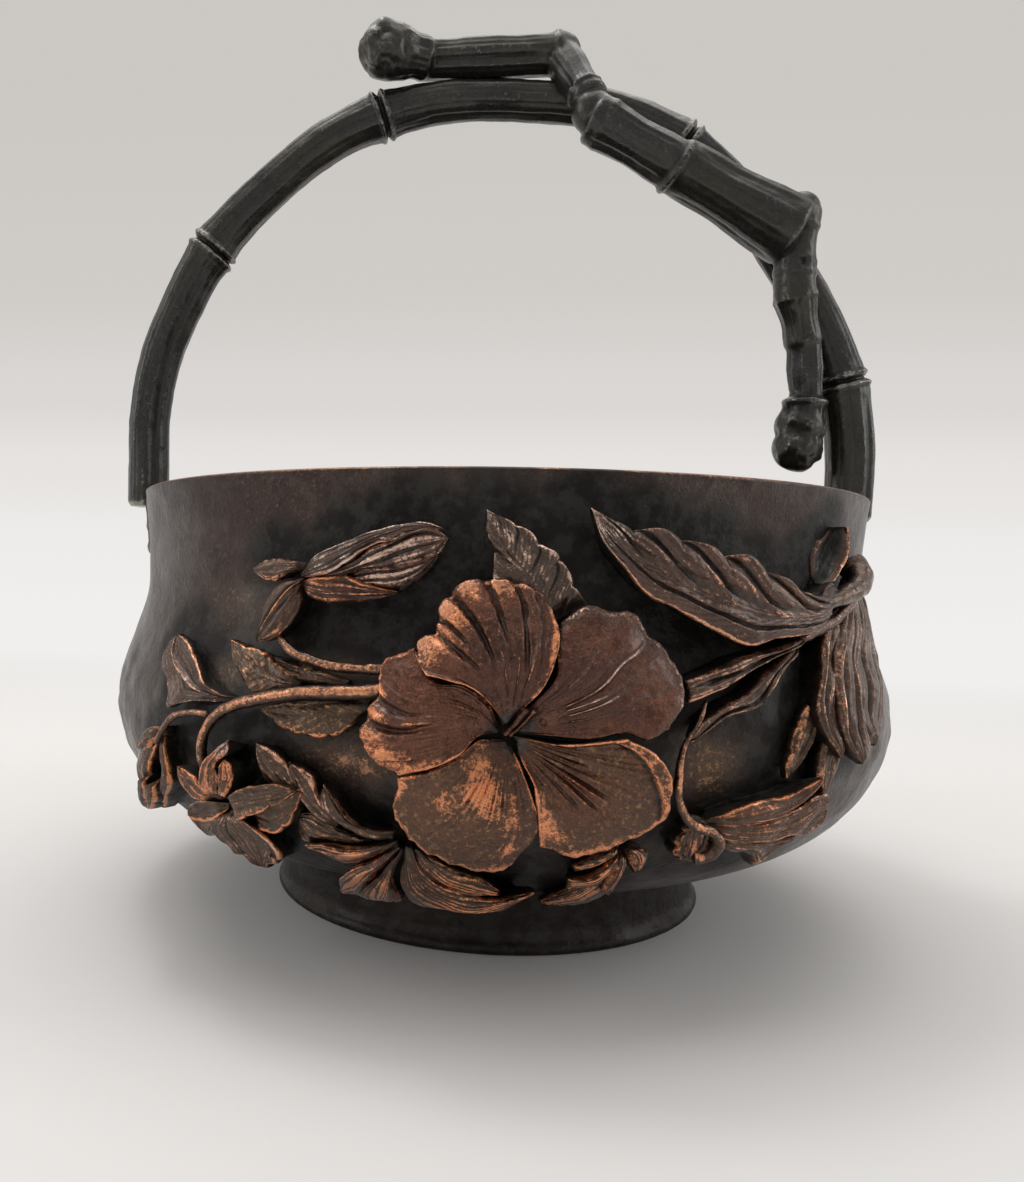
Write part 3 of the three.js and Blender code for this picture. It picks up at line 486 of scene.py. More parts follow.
# Large flower. sides holds the left side of each petal, its rim and its right side, as across,up. Grooves and
# veins run out from the centre: (place along the rim, depth or height, half width, where they start, where
# they end). Rubs are the places worn bright: (along u, along v, reach in u, reach in v, how much).
PETALS = {
    "flower_petal_top": dict(lift=11.6, centre=4, lips=((0.9, 1.2), (0.3, 0.7)), bowl=0.9, silver=0.2,
        sides="3,65.5 1.5,68.5 -3,73 -7.5,74 -11.5,74.5 / -11,75 -13,77.5 -13,81 -10.5,83.5 -9,89 -5.5,92.5 "
              "-1,93.5 4.5,93 9,91.5 11.5,88 / 4.5,66.5 7.5,70 10.5,74.5 12,78.5 13,83.5 12,88",
        grooves=[(0.12, 0.35, 0.02, 0.7, 1.2), (0.255, 1, 0.024, 0.42, 1.2), (0.32, 0.9, 0.018, 0.6, 1.2),
            (0.45, 1.1, 0.024, 0.38, 1.2), (0.635, 0.9, 0.024, 0.4, 1.2), (0.775, 0.7, 0.02, 0.3, 1.2),
            (0.88, 0.5, 0.022, 0.3, 1.2)],
        veins=[(0.56, 0.16, 0.008, 0.15, 0.6), (0.7, 0.16, 0.008, 0.1, 0.55), (0.82, 0.15, 0.008, 0.15, 0.7)],
        rubs=[(0.98, 0.2, 0.2, 0.14, 0.8), (0.98, 0.38, 0.2, 0.08, 0.95), (1, 0.54, 0.16, 0.05, 0.9),
            (1.02, 0.69, 0.14, 0.07, 1), (0.75, 0.965, 0.3, 0.03, 0.9)]),
    "flower_petal_lower_right": dict(lift=11.2, centre=4.2, tone=0.6, lips=((0.5, 0.9), (1.2, 0.9)),
        bowl=-0.5, fold=True, border=0.75, ribs=0.12,
        sides="5.5,62.6 6,60.5 8.5,55 9.5,48.5 10.5,42.5 / 10,43.5 16.5,41.5 21,43 25.5,45 31,48.5 32,53.5 "
              "31,58.5 27.5,62.5 23.5,64.5 / 5,63.5 12.5,63 19,63.5 24.5,64",
        grooves=[(0.16, 0.25, 0.016, 0.3, 0.6), (0.3, 0.4, 0.016, 0.18, 0.66), (0.4, 0.4, 0.015, 0.15, 0.7),
            (0.5, 0.45, 0.015, 0.12, 0.66), (0.6, 0.45, 0.015, 0.12, 0.6), (0.7, 0.35, 0.014, 0.1, 0.5),
            (0.8, 0.3, 0.014, 0.1, 0.45)],
        veins=[(0.35, 0.15, 0.008, 0.3, 0.72), (0.46, 0.18, 0.008, 0.25, 0.75),
            (0.25, 0.14, 0.008, 0.35, 0.7)],
        rubs=[(0.72, 0.05, 0.26, 0.09, 0.85), (1, 0.2, 0.08, 0.25, 0.7), (1, 0.5, 0.05, 0.2, 0.6)]),
    "flower_petal_upper_right": dict(lift=10.2, centre=3.4, lips=((0.1, 0.2), (0.3, 0.2)), bowl=1, border=0.3,
        silver=0.7,
        sides="6,67 9,70.5 12.5,75.5 13,81 14,85 / 13.5,85 17,88 20,89 23.5,87.5 26.5,88 31,83.5 34.5,79 "
              "36,74 34.5,69 32,66 / 6,64 12.5,64 19,64 25,65 29.5,63.5 33.5,65",
        grooves=[(0.51, 0.35, 0.03, 0.12, 1.2), (0.2, 0.3, 0.05, 0.55, 1.2), (0.74, 0.3, 0.05, 0.5, 1.1)],
        veins=[(0.51, 0.3, 0.006, 0.2, 1), (0.585, 0.34, 0.008, 0.22, 0.58), (0.655, 0.36, 0.008, 0.2, 0.62),
            (0.74, 0.24, 0.008, 0.2, 0.5), (0.43, 0.2, 0.008, 0.25, 0.42), (0.3, 0.16, 0.008, 0.3, 0.6)],
        rubs=[(1.02, 0.33, 0.06, 0.1, 0.5), (1.02, 0.85, 0.05, 0.06, 0.6), (1, 0.12, 0.05, 0.08, 0.5)]),
    "flower_petal_left": dict(lift=10.2, centre=3.6, lips=((0.1, 0), (0.7, 1.3)), bowl=0.7, ribs=0.06,
        sides="2,65 0.5,69 -4,73 -10,73.5 -14.5,79 / -14,79.5 -20,76 -20,73.5 -20.5,70.5 -22.5,66 -23,63 "
              "-20,58.5 -15,56 / 2,64 -1.5,63.5 -4.5,60.5 -9.5,57.5 -16,55",
        grooves=[(0.27, 0.3, 0.016, 0.72, 1.1), (0.31, 0.3, 0.014, 0.75, 1.1), (0.41, 0.8, 0.032, 0.5, 1.2),
            (0.56, 1, 0.035, 0.45, 1.2), (0.72, 0.45, 0.03, 0.5, 1.1), (0.86, 0.3, 0.02, 0.5, 1)],
        veins=[(0.5, 0.2, 0.01, 0.45, 0.8), (0.3, 0.12, 0.008, 0.2, 0.55), (0.42, 0.12, 0.008, 0.15, 0.5)],
        rubs=[(0.92, 0.78, 0.22, 0.2, 0.72), (0.96, 0.5, 0.16, 0.05, 0.85), (0.8, 0.98, 0.3, 0.1, 0.7),
            (0.98, 0.34, 0.08, 0.04, 0.8), (0.9, 0.64, 0.2, 0.05, 0.6)]),
    "flower_petal_lower_left": dict(lift=9.8, centre=3.2, tone=0.6, lips=((0.1, 0), (0.2, 0.2)), bowl=-0.2,
        scallops=17, pits=True, border=0.8, ribs=0.09,
        sides="3,62.5 -1.5,62.5 -4.5,60 -9.5,57 -16,54.5 / -15.5,55 -16,52 -16.5,48 -13,42 -7.5,38.5 "
              "-1.5,36.5 4,37.5 6.5,41 / 4,62 5.5,59.5 8,53 9.5,47 6.5,40",
        grooves=[(0.35, 0.22, 0.01, 0.22, 0.62), (0.43, 0.22, 0.01, 0.2, 0.66),
            (0.51, 0.25, 0.01, 0.18, 0.66), (0.6, 0.25, 0.01, 0.18, 0.62), (0.7, 0.25, 0.012, 0.2, 0.55),
            (0.3, 0.3, 0.05, 0.75, 1.2)],
        veins=[],
        rubs=[(0.42, 0.5, 0.16, 0.22, 0.95), (0.3, 0.35, 0.14, 0.2, 0.85), (0.62, 0.3, 0.12, 0.15, 0.5),
            (0.5, 0.78, 0.18, 0.07, 0.62), (1, 0.06, 0.1, 0.05, 0.9), (1, 0.85, 0.08, 0.09, 0.95),
            (0.75, 0.8, 0.1, 0.05, 0.6), (0.25, 0.15, 0.2, 0.1, 0.5)]),
}
FLOWER_CENTRE = (3.8, 64.3)


def petal(name, lift, centre, sides, grooves, veins, rubs, lips, bowl, tone=0.0, scallops=0, fold=False,
          pits=False, border=0.5, ribs=0.06, silver=0.0):
    seed = len(name)
    a, rim, b = paths(sides)

    def run(v, u, at, width):
        return bell(v - at - 0.012 * np.sin(6 * u + 50 * at), width)

    def place(u, v):
        u, v = np.asarray(u), np.asarray(v)
        far, square = along(rim, v), u[..., None] ** 2
        a0, a1, b0, b1 = a[0], rim[0], b[0], rim[-1]
        pa = along(a, u) + (a1 - a[-1]) * square
        pb = along(b, u) + (b1 - b[-1]) * square
        wavy = 0.12 * np.sin(v * 43 + seed) + 0.08 * np.sin(v * 97 + 2)
        dip = sum(0.75 * depth * bell(v - at, 1.4 * width) * (end > 1)
                  for at, depth, width, start, end in grooves)
        dip = dip + wavy
        if scallops:
            dip = dip + 0.4 * np.abs(np.sin(v * np.pi * scallops / 2)) ** 0.7
        u, v, dip = u[..., None], v[..., None], dip[..., None]
        p = mix(pa, pb, v) + mix(mix(a0, b0, v), far, u) - mix(mix(a0, b0, v), mix(a1, b1, v), u)
        p = p - unit(far - FLOWER_CENTRE) * dip * smooth(0.9, 1, u)
        return p[..., 0], p[..., 1]

    def folded(u, v):
        start = 0.97 - 0.11 * smooth(0.52, 0.76, v)
        return smooth(start, start + 0.02, u) * smooth(0.5, 0.6, v)

    def front(u, v):
        h = mix(centre, lift, smooth(-0.15, 0.6, u)) - 1.1 * smooth(0.78, 1.08, u)
        h = h + bowl * np.sin(np.pi * v) * np.sin(np.pi * np.clip(u, 0, 1))
        for at, depth, width, start, end in grooves:
            reach = smooth(start - 0.12, start + 0.36, u) * (1 - smooth(end - 0.15, end, u))
            h = h - 1.25 * depth * run(v, u, at, width) * reach
        for at, height, width, start, end in veins:
            reach = smooth(start, start + 0.08, u) * (1 - smooth(end - 0.25, end, u))
            h = h + 1.6 * height * run(v, u, at, 1.4 * width) * reach
        fade = smooth(0.08, 0.35, u) * (1 - 0.5 * smooth(0.7, 1, u))
        fade = fade * (0.55 + 0.45 * np.sin(v * 31 + 5 * u + seed))
        h = h + ribs * np.sin(v * 118 + 2.5 * np.sin(u * 3 + seed) + 2 * np.sin(v * 17)) * fade
        if pits:
            rows = np.sin(v * 105) ** 8 * np.sin(u * 130) ** 6
            h = h - 0.35 * rows * bell(u - 0.45, 0.16) * bell(v - 0.52, 0.2)
        if fold:
            h = h + 1.1 * folded(u, v)
        grow = smooth(0.03, 0.3, u)
        h = h + lips[0][0] * bell(v, 0.022) * grow + lips[1][0] * bell(1 - v, 0.022) * grow
        h = h + 0.35 * np.sin(v * 11 + seed) * smooth(0.6, 1, u)
        return h + 0.3 * bell(1 - u, 0.02)

    # Painted shade where the petals meet at the middle of the flower.
    def shade(u, v):
        return smooth(0.16, 0.0, u) * 0.9

    def rub(u, v):
        lip = np.maximum(lips[0][1] * bell(v, 0.012), lips[1][1] * bell(1 - v, 0.014))
        worn = [lip * smooth(0.03, 0.2, u)]
        worn += [much * bell(u - at_u, wide_u) * bell(v - at_v, wide_v)
                 for at_u, at_v, wide_u, wide_v, much in rubs]
        for at, height, width, start, end in veins:
            reach = smooth(start, start + 0.1, u) * (1 - smooth(end - 0.2, end, u))
            worn.append(min(2.0 * height, 0.75) * run(v, u, at, 1.3 * width) * reach)
        if fold:
            line = folded(u, v)
            worn += [3.2 * line * (1 - line), 0.28 * line]
        return highest(*worn)

    # Painted highlight: the rim and the veins are greyed and their rubbed places painted silvery.
    def pale(u, v):
        veined = sum(run(v, u, vein[0], 1.5 * vein[2]) for vein in veins) + 0 * u
        return silver * np.maximum(smooth(0.85, 1, u), np.minimum(veined, 1))

    return relief(name, place, front, (140, 250), 2.0, FLOWER, tone, shade, rub, border, pale)


for name, shape in PETALS.items():
    add(name, petal(name, **shape))

# Leaves and small petals: lift off the wall, then one edge, the midrib and the other edge, from root to tip
LEAVES = {
    "leaf_top": (7, "2,89.5 0.5,93.5 0.5,99 -1,102.5 -1,107 / 13.5,85.5 8.5,93 3.5,99.5 -1,107 / 20,89 "
        "17.5,92 15.5,95.5 13.5,98.5 10,100.5 7.5,103 3.5,105 -1,107"),
    "leaf_right_large": (9, "83.5,94.5 74,91.5 67.5,93.5 60,96.5 53,99.5 48.5,100 41,102 34.5,104 26.5,104.5 "
        "19,107.5 / 87,91.5 74.5,88 62,87.5 49.5,90 37.5,94 27,99.5 19,107.5 / 84,89 76,85 60.5,82.5 "
        "52.5,81.5 45,84.5 37.5,88 31,91 26,96.5 21.5,101.5 19,107.5"),
    "leaf_right_edge": (2.2, "85.5,94.5 85,97.5 84.6,100.6 86.4,103.4 90,104.8 92.4,107 / 85,94.2 88,98.5 "
        "91,102.5 92.4,107 / 86.5,93.8 91,96.6 93.8,99.5 94.2,103 92.6,107"),
    "leaf_hang_outer": (5, "98.5,96 93,86.5 86.5,77.5 82,71 81,66 84,61.5 88,59.5 / 100.5,96 100,88 95,79 "
        "91.5,72 88.5,65 88,59.5 / 102.5,96 105.5,91 105,82 103,75 99,68.5 93.5,62 88,59.5"),
    "leaf_hang_middle": (6.6, "92.5,93 86,84.5 79.5,78 76,71.5 75,65.5 77,60.5 80.5,56.5 / 95,94 90,85.5 "
        "83,77.5 79.8,70.5 79.5,64 80.5,56.5 / 98.5,94.5 93.5,85.5 86.5,76.5 83.5,70 84,64 84.5,59.5 "
        "80.5,56.5"),
    "leaf_hang_inner": (5.4, "86.5,91.5 80,83.5 74,75 71,67.5 72.5,62 75.5,58 / 89.5,92 83.5,83 77,74.5 "
        "74.5,67.5 75.5,58 / 92.5,92.5 87,83 80.5,74.5 78,67.5 78,61 75.5,58"),
    "leaf_hang_small": (3, "75,73 70.4,68.5 67,64 64.6,60 63.2,56.5 63.6,54 / 76,72.5 70.2,63.5 63.8,54 / "
        "77,71.5 74,66 71,61 67.5,57 63.8,54"),
    "leaf_hang_low": (4, "77,65.5 73,59.5 72,53 74.5,49 / 79,66 75.5,58 75,49.5 / 80.5,64.5 78.5,58 77,53 "
        "75.5,49"),
    "leaf_stem_upper": (7, "73.5,83.5 60.5,80.5 52,79 44.5,76.5 38,74.5 / 74.5,83 58.5,79 47.5,75.5 38.5,73 "
        "/ 74,82 64.5,80 55,77 47,73.5 40,71 38,70.5"),
    "leaf_stem_lower": (6, "71,82 58.5,76 52.5,72 46,69.5 40.5,66 38,63.5 / 72,81.5 60.5,76 54.5,70.5 "
        "47,68.5 39,63.5 / 72.5,81 62.5,76 57,71.5 53.5,69 46.5,67.5 41,64.5 38.5,63"),
    "bud_right_petal_upper": (6.4, "43.6,46.4 48,49 54,50.4 60,51 65.2,52.4 68.8,54.4 / 43.8,46 51,47.6 "
        "58,48.6 64,50.4 68.8,54.2 / 44,45.6 51,45.6 58,46.2 63,47.8 67,50.6 68.8,54"),
    "bud_right_petal_middle": (5.8, "44.2,45.2 51,45.8 59,46.4 66,48 71.5,50 / 44.4,44.4 52,43.6 60,43.4 "
        "67,45 72,48.6 / 44.4,43.4 50,42 57,41 64,40.8 69.5,43 72.2,47.6"),
    "bud_right_petal_end": (6.2, "62,46.5 66,48.8 70,50.4 73,50.2 74.5,48.4 / 62.5,44.8 68,46 74.4,47 / "
        "62,43 66.5,41.8 70.5,41.4 73.6,43 74.6,46.4"),
    "bud_right_petal_lower": (4.6, "48,41.8 54,41.2 60,40.8 66,40.4 70.5,40.4 / 48.5,41 55,39.8 62,39.2 "
        "70.5,39.8 / 49,40.4 55,38.2 60.5,37 63.5,33.6 65,37 70,39.2"),
    "bud_left_petal_outer": (8, "-41.5,94 -36,98 -29,100.8 -23,102.8 -17.2,104.2 -12.5,104.4 -9.5,103.2 / "
        "-41.5,93.5 -36,95.6 -29,98.8 -23,101.5 -16,103.4 -9.5,103.1 / -41.5,93 -36.8,93.2 -32,94.5 -29,96.2 "
        "-26,98.8 -23,100.2 -20.5,100.2 -17.2,102 -14,103 -9.5,103.1"),
    "bud_left_petal_lower": (7.8, "-41.5,92 -36.8,92.8 -30.2,93.4 -26.5,92.4 -22.8,91.2 -18.5,90.5 / "
        "-41.5,91.6 -35,90.6 -27.5,90.4 -18.5,90.4 / -41.5,91.2 -39,89.2 -34.8,88 -28.5,88.2 -22.8,89 "
        "-18.5,90.2"),
    "bud_left_calyx_upper": (6, "-41.5,96 -47,96.5 -52,96 -54.5,94.5 / -41.5,95 -48.5,94.5 -54.5,94 / -42,94 "
        "-45.5,93.5 -48,92 -52,92.5 -54.5,94"),
    "bud_left_calyx_lower": (7, "-42,93 -47.5,90.5 -50,87 -50,83 -50.5,79.5 / -41,92.5 -46,87 -50,79.5 / "
        "-41,91.5 -41,87 -43.5,82 -46.5,79.5 -50,79"),
    "leaf_left_upper": (4, "-54.7,66 -58.7,65.5 -65.2,65 -72.2,63.7 -76,62.6 -76.6,65.6 -79,68.6 -83,71.4 "
        "-83.8,74 -82.8,76.4 -80.2,78.5 / -54.9,66.2 -61.5,66.6 -68.7,67.9 -73.2,69.9 -77.2,72.2 -79.9,74.8 "
        "-80.4,78.4 / -54.9,66.5 -58.9,66.9 -62.2,67.9 -65.7,69.6 -67.5,71 -69.9,73.3 -73.7,76.3 -76.7,77.7 "
        "-80.2,78.5"),
    "leaf_left_middle": (4, "-39.5,71.5 -45.5,74.5 -51,77 -55,77.5 -60,78.5 / -39.5,70.5 -46,71.5 -54,74.5 "
        "-59.5,78 / -40,70 -51,68.5 -54,71 -58,74.5 -59.5,77 -60,78.5"),
    "leaf_left_back": (3, "-29,72 -35,73.5 -41.5,75 -50.5,76 / -29,71.5 -38.5,73 -50.5,76 / -29,71 -37,71 "
        "-43.5,72.5 -50.5,75.5"),
    "leaf_under_branch": (4, "-23.5,68.5 -31.5,68 -40.5,67 -48.5,65 / -23.5,67 -31,65 -39,64.5 -48,65 / "
        "-24.5,66 -27.5,62.5 -32.5,60.5 -37,61 -42.5,62 -45.5,64 -48,65"),
    "small_petal_up_left": (8.5, "-58,44.4 -60,47 -59.6,49.6 -58.6,52.4 -57.2,54.4 -55.2,55.8 -53.4,57.2 "
        "-51.8,58.4 / -57.6,44.6 -57.6,49 -56.4,52.8 -54.2,55.6 -51.8,58.4 / -57.2,44.8 -55.4,48 -55,51 "
        "-55,53 -53.8,54.2 -52.2,55.4 -51.4,57 -51.8,58.4"),
    "small_petal_up_right": (8, "-56.6,44.8 -55,48.2 -54.6,51 -53.9,53.4 -52.8,54.4 / -56.2,44.8 -53.6,49.2 "
        "-53,52.2 -52.8,54.4 / -55.6,44.8 -53.6,46.5 -51.8,49.2 -51.2,51.5 -51.4,53.5 -52.8,54.4"),
    "small_petal_left_upper": (8, "-58,44.6 -60.4,46.6 -62,49 -64.8,50.2 -67,50.8 / -58.6,44.4 -62.6,46.2 "
        "-67,50.6 / -59.4,44 -64,44.2 -66.4,46.4 -67.2,48.4 -67,50.8"),
    "small_petal_left": (7, "-57.4,43.4 -60.6,43.8 -65.2,42.6 -69,40.4 -70,38.8 / -57.4,42.8 -64,40.8 "
        "-70,38.6 / -57.4,42 -59.8,39.8 -64.6,38 -68.6,37.8 -70.2,38.4"),
    "small_petal_right": (8, "-55.5,44 -52,47 -48.5,48.8 -44.5,50 -40.4,50.8 -36.8,50 / -55.6,43.2 -49,45.5 "
        "-43,47.3 -36.8,49.7 / -55.5,42.4 -53.6,41 -50.8,41.4 -47.2,43.2 -44,44.8 -40.3,46.8 -36.8,49.4"),
    "small_petal_right_back": (6.4, "-51,43 -45.5,44.5 -40.8,47.2 -36.4,50 / -51,42 -44.5,42.3 -39.6,45.6 "
        "-36.2,49.6 / -51,40.8 -48.6,39.2 -45.6,38.6 -42,40.2 -38.8,43.6 -36,49"),
    "small_petal_bottom": (7, "-55.5,42.4 -51.5,40.6 -48,38.6 -45.5,36.4 -44.6,34 -45.2,32.4 -47,32.6 "
        "-47.6,30.8 -50,30.4 -52,28.6 / -56,42.2 -55,37.5 -53.2,33 -52,28.6 / -56.5,42 -60.6,39 -63.4,35.6 "
        "-62.6,33.6 -60.5,32.8 -60,30.8 -57,30.8 -56,29 -52,28.6"),
    "small_petal_bottom_left": (6, "-59.5,41.5 -66.5,40 -72.5,38 -71.5,35 -69.5,33 / -59,41.5 -65,37.5 "
        "-69,33.5 / -58.5,40.5 -62,36.5 -68.5,33"),
}
LOBES = {
    "leaf_drop": [
        (6.2, "-76,58 -80,57.4 -83.6,54.8 -86.5,51.5 / -76.2,57 -80.5,55.6 -86.4,51.3 / -76.4,56 -79.4,54.2 "
            "-81.8,52.2 -86.3,51"),
        (5, "-81.6,56.4 -86,53.4 -90.4,49.6 -92.8,46.2 -94,42.7 -94.4,38.7 -94.4,35.5 / -80.8,56 -86,49.3 "
            "-90,43.5 -94,35.4 / -79.4,55.4 -81,51.9 -83.7,48.5 -86.2,45 -89.6,41 -93.6,35.4"),
        (4.6, "-79.9,55.6 -78.9,51.9 -79.1,48.5 -81.1,44.4 -86,39.8 -91.2,35.2 / -79.1,55.9 -77.7,48.5 "
            "-80.2,43.8 -85.6,39.2 -91,35.2 / -78.3,56.2 -76.8,51.9 -76.4,48.5 -77.3,45 -80.7,42.1 "
            "-85.2,38.7 -90.6,35.2"),
        (7, "-86.7,45 -90.2,41.6 -92.8,38.1 -93.4,34.9 / -86.2,45 -88.8,41.6 -91.3,38.1 -93.2,34.9 / "
            "-85.8,45 -86.9,41.6 -89.2,38.1 -93,34.9"),
        (7, "-82.8,44.4 -86,41.6 -88.7,38.1 -90.7,35.5 / -82.3,44.4 -84.4,41.6 -87.4,38.1 -90.5,35.5 / "
            "-81.9,44.4 -82.7,41.6 -86.1,38.1 -90.3,35.5")],
    "bud_left_petal_inner": [
        (7, "-38,93.4 -33,94.6 -27.5,97.5 -23.8,99.8 -20.2,101 -16.8,103.2 -12.5,104.1 -8.7,101.5 / -38,93 "
            "-31,94 -24.5,96.5 -17.5,99.5 -8.7,101.4 / -38,92.6 -32,93.2 -26,94.5 -21.5,94.8 -16.5,95.5 "
            "-13,96.8 -10.5,98.4 -8.7,101.3"),
        (6.2, "-31,93.4 -26,95 -20.8,95.6 -15.8,96.6 -13,97 -10.8,98 / -31,92.6 -24.5,93.3 -17.5,94 "
            "-10.8,97.8 / -31.5,92 -26.5,91.2 -22.2,90.8 -19,91 -15.8,92.5 -13,94.8 -10.8,97.6")],
    "leaf_lobed_left": [
        (5, "-36.5,49.5 -40.5,55 -43.5,57 -47,58 / -37.5,47.5 -42,52 -46.5,57.5 / -39,47 -45.5,50.5 -47,54.5 "
            "-47,58"),
        (5, "-30,45 -33,49 -34,52.5 -36.5,54 -39,55 / -30.5,42 -35,47.5 -39,55 / -33.5,42 -37.5,47.5 "
            "-39.5,52.5 -39,55"),
        (6, "-18,42.5 -24,43.5 -27,45.5 -29,48.5 -31,51.5 / -18.5,41.5 -27,44.5 -31,51.5 / -18.5,40.5 "
            "-24.5,41 -28.5,43 -32,46.5 -32,49.5 -31,51.5"),
        (3, "-26,39.5 -32.5,41.5 -37,44 -40,43 / -24,39 -32,39.5 -40,42.5 / -24,38 -34,37 -41.5,37 "
            "-40.5,41.5")],
    "leaf_fan_left": [
        (5, "-18.5,40 -28,37.5 -35,37.5 -39,36.5 / -18,40 -28.5,36 -38.5,36 / -18,39 -25,35 -30,33 -36,35 "
            "-39,36"),
        (5, "-18,39 -24,34.5 -30,31.5 -35.5,26 -37,23 / -17.5,38.5 -24.5,32 -36,24 / -17,38 -20.5,34.5 "
            "-26.5,28.5 -33.5,22 -37,22.5"),
        (5, "-17.5,38 -23,31 -32,22 -27,20.5 / -17,38 -21,30 -26.5,21.5 / -16.5,38 -20.5,30 -21.5,22 "
            "-26,20.5"),
        (5, "-16.5,38 -18.5,29 -17.5,22 -8,20 2,21 11.5,29 / -16,39 -14.5,28 -5.5,22.5 11.5,29.5 / -15,38.5 "
            "-12.5,32 -6,28 2,26.5 11.5,29.5"),
        (4, "-15.5,37 -13,30.5 -6.5,26.5 4,27 / -14.5,38 -8.5,31.5 4,27.5 / -13,38 -7,34 -1,32 4,28.5")],
    "leaf_fan_right": [
        (5, "26,41.5 22,39 18,37 / 27,41.5 23,38 18.5,36.5 / 27.5,40.5 23.5,37 19,35.5"),
        (5, "26.5,39.5 22.5,34.5 18,33.5 / 27.5,40.5 24,34.5 18.5,32 / 28,39.5 25.5,33 23,31 18.5,31"),
        (5, "27,39.5 26.5,34.5 26.5,30 / 27.5,40.5 28,35 27.5,29.5 / 29,39.5 29.5,34.5 28.5,28.5"),
        (5, "28,40.5 30,38 32,35 / 28.5,41.5 31.5,39 32,35.5 / 31,41.5 33,40 33,36.5 32,35"),
        (3, "27.5,35.5 21,29 15,24.5 / 29,36 23.5,28 15.5,23.5 / 30.5,32 29.5,23.5 16,22.5")],
}
# How each leaf or petal is worked. pleats: (count, slant, depth) on its first and second side. folds: (count,
# depth) lengthwise. puff: how the halves swell; dome: how the whole swells; cup: how its middle sinks; rib:
# its midrib; crease: a groove on its second side; fine: its engraved lines, which run along it or, where
# veined is (count, slant), away from the rib; line: how wide its rubbed edges are; sway: how it bends to and
# fro; curl: how its tip rises; tilt: how much its second side stands above its first; teeth: (count, depth)
# of its two edges. edges, crest, face, spine and tip: how bright each is rubbed, and the tip also takes a
# painted silvery highlight. dark: how much painted shade lies down its middle. tone: its olive patina; the
# grey value: its grey patina, which also turns its rubbed places to a painted silvery highlight.
PLAIN = dict(pale=0, tilt=0, fine=0.6, veined=None, line=1.3, sway=0, pleats=(None, None), folds=None,
             puff=0.6, dome=0, cup=0, rib=0.3, teeth=(None, None), curl=0, edges=(0.5, 0.5), crest=0, face=0,
             spine=0, tip=0, crease=0, dark=0, tone=0.3)
SMALL = dict(PLAIN, line=0.9, puff=-0.3, cup=0.9, rib=-0.15, fine=0.65, edges=(0.7, 1), tone=0.9,
             teeth=((3, 0.25), (4, 0.3)))
FINGER = dict(PLAIN, puff=0, dome=1.3, rib=0, edges=(0.7, 0.7), crest=0.88, fine=0.8)
BUD = dict(PLAIN, puff=0, rib=0)
HANG = dict(PLAIN, fine=0.5, sway=0.7, edges=(0.35, 0.35), pale=0.25)
DEEP = dict(PLAIN, pleats=((3, 0.8, 0.3), (3, 0.8, 0.3)), veined=(9, 2), fine=0.4, tone=1)
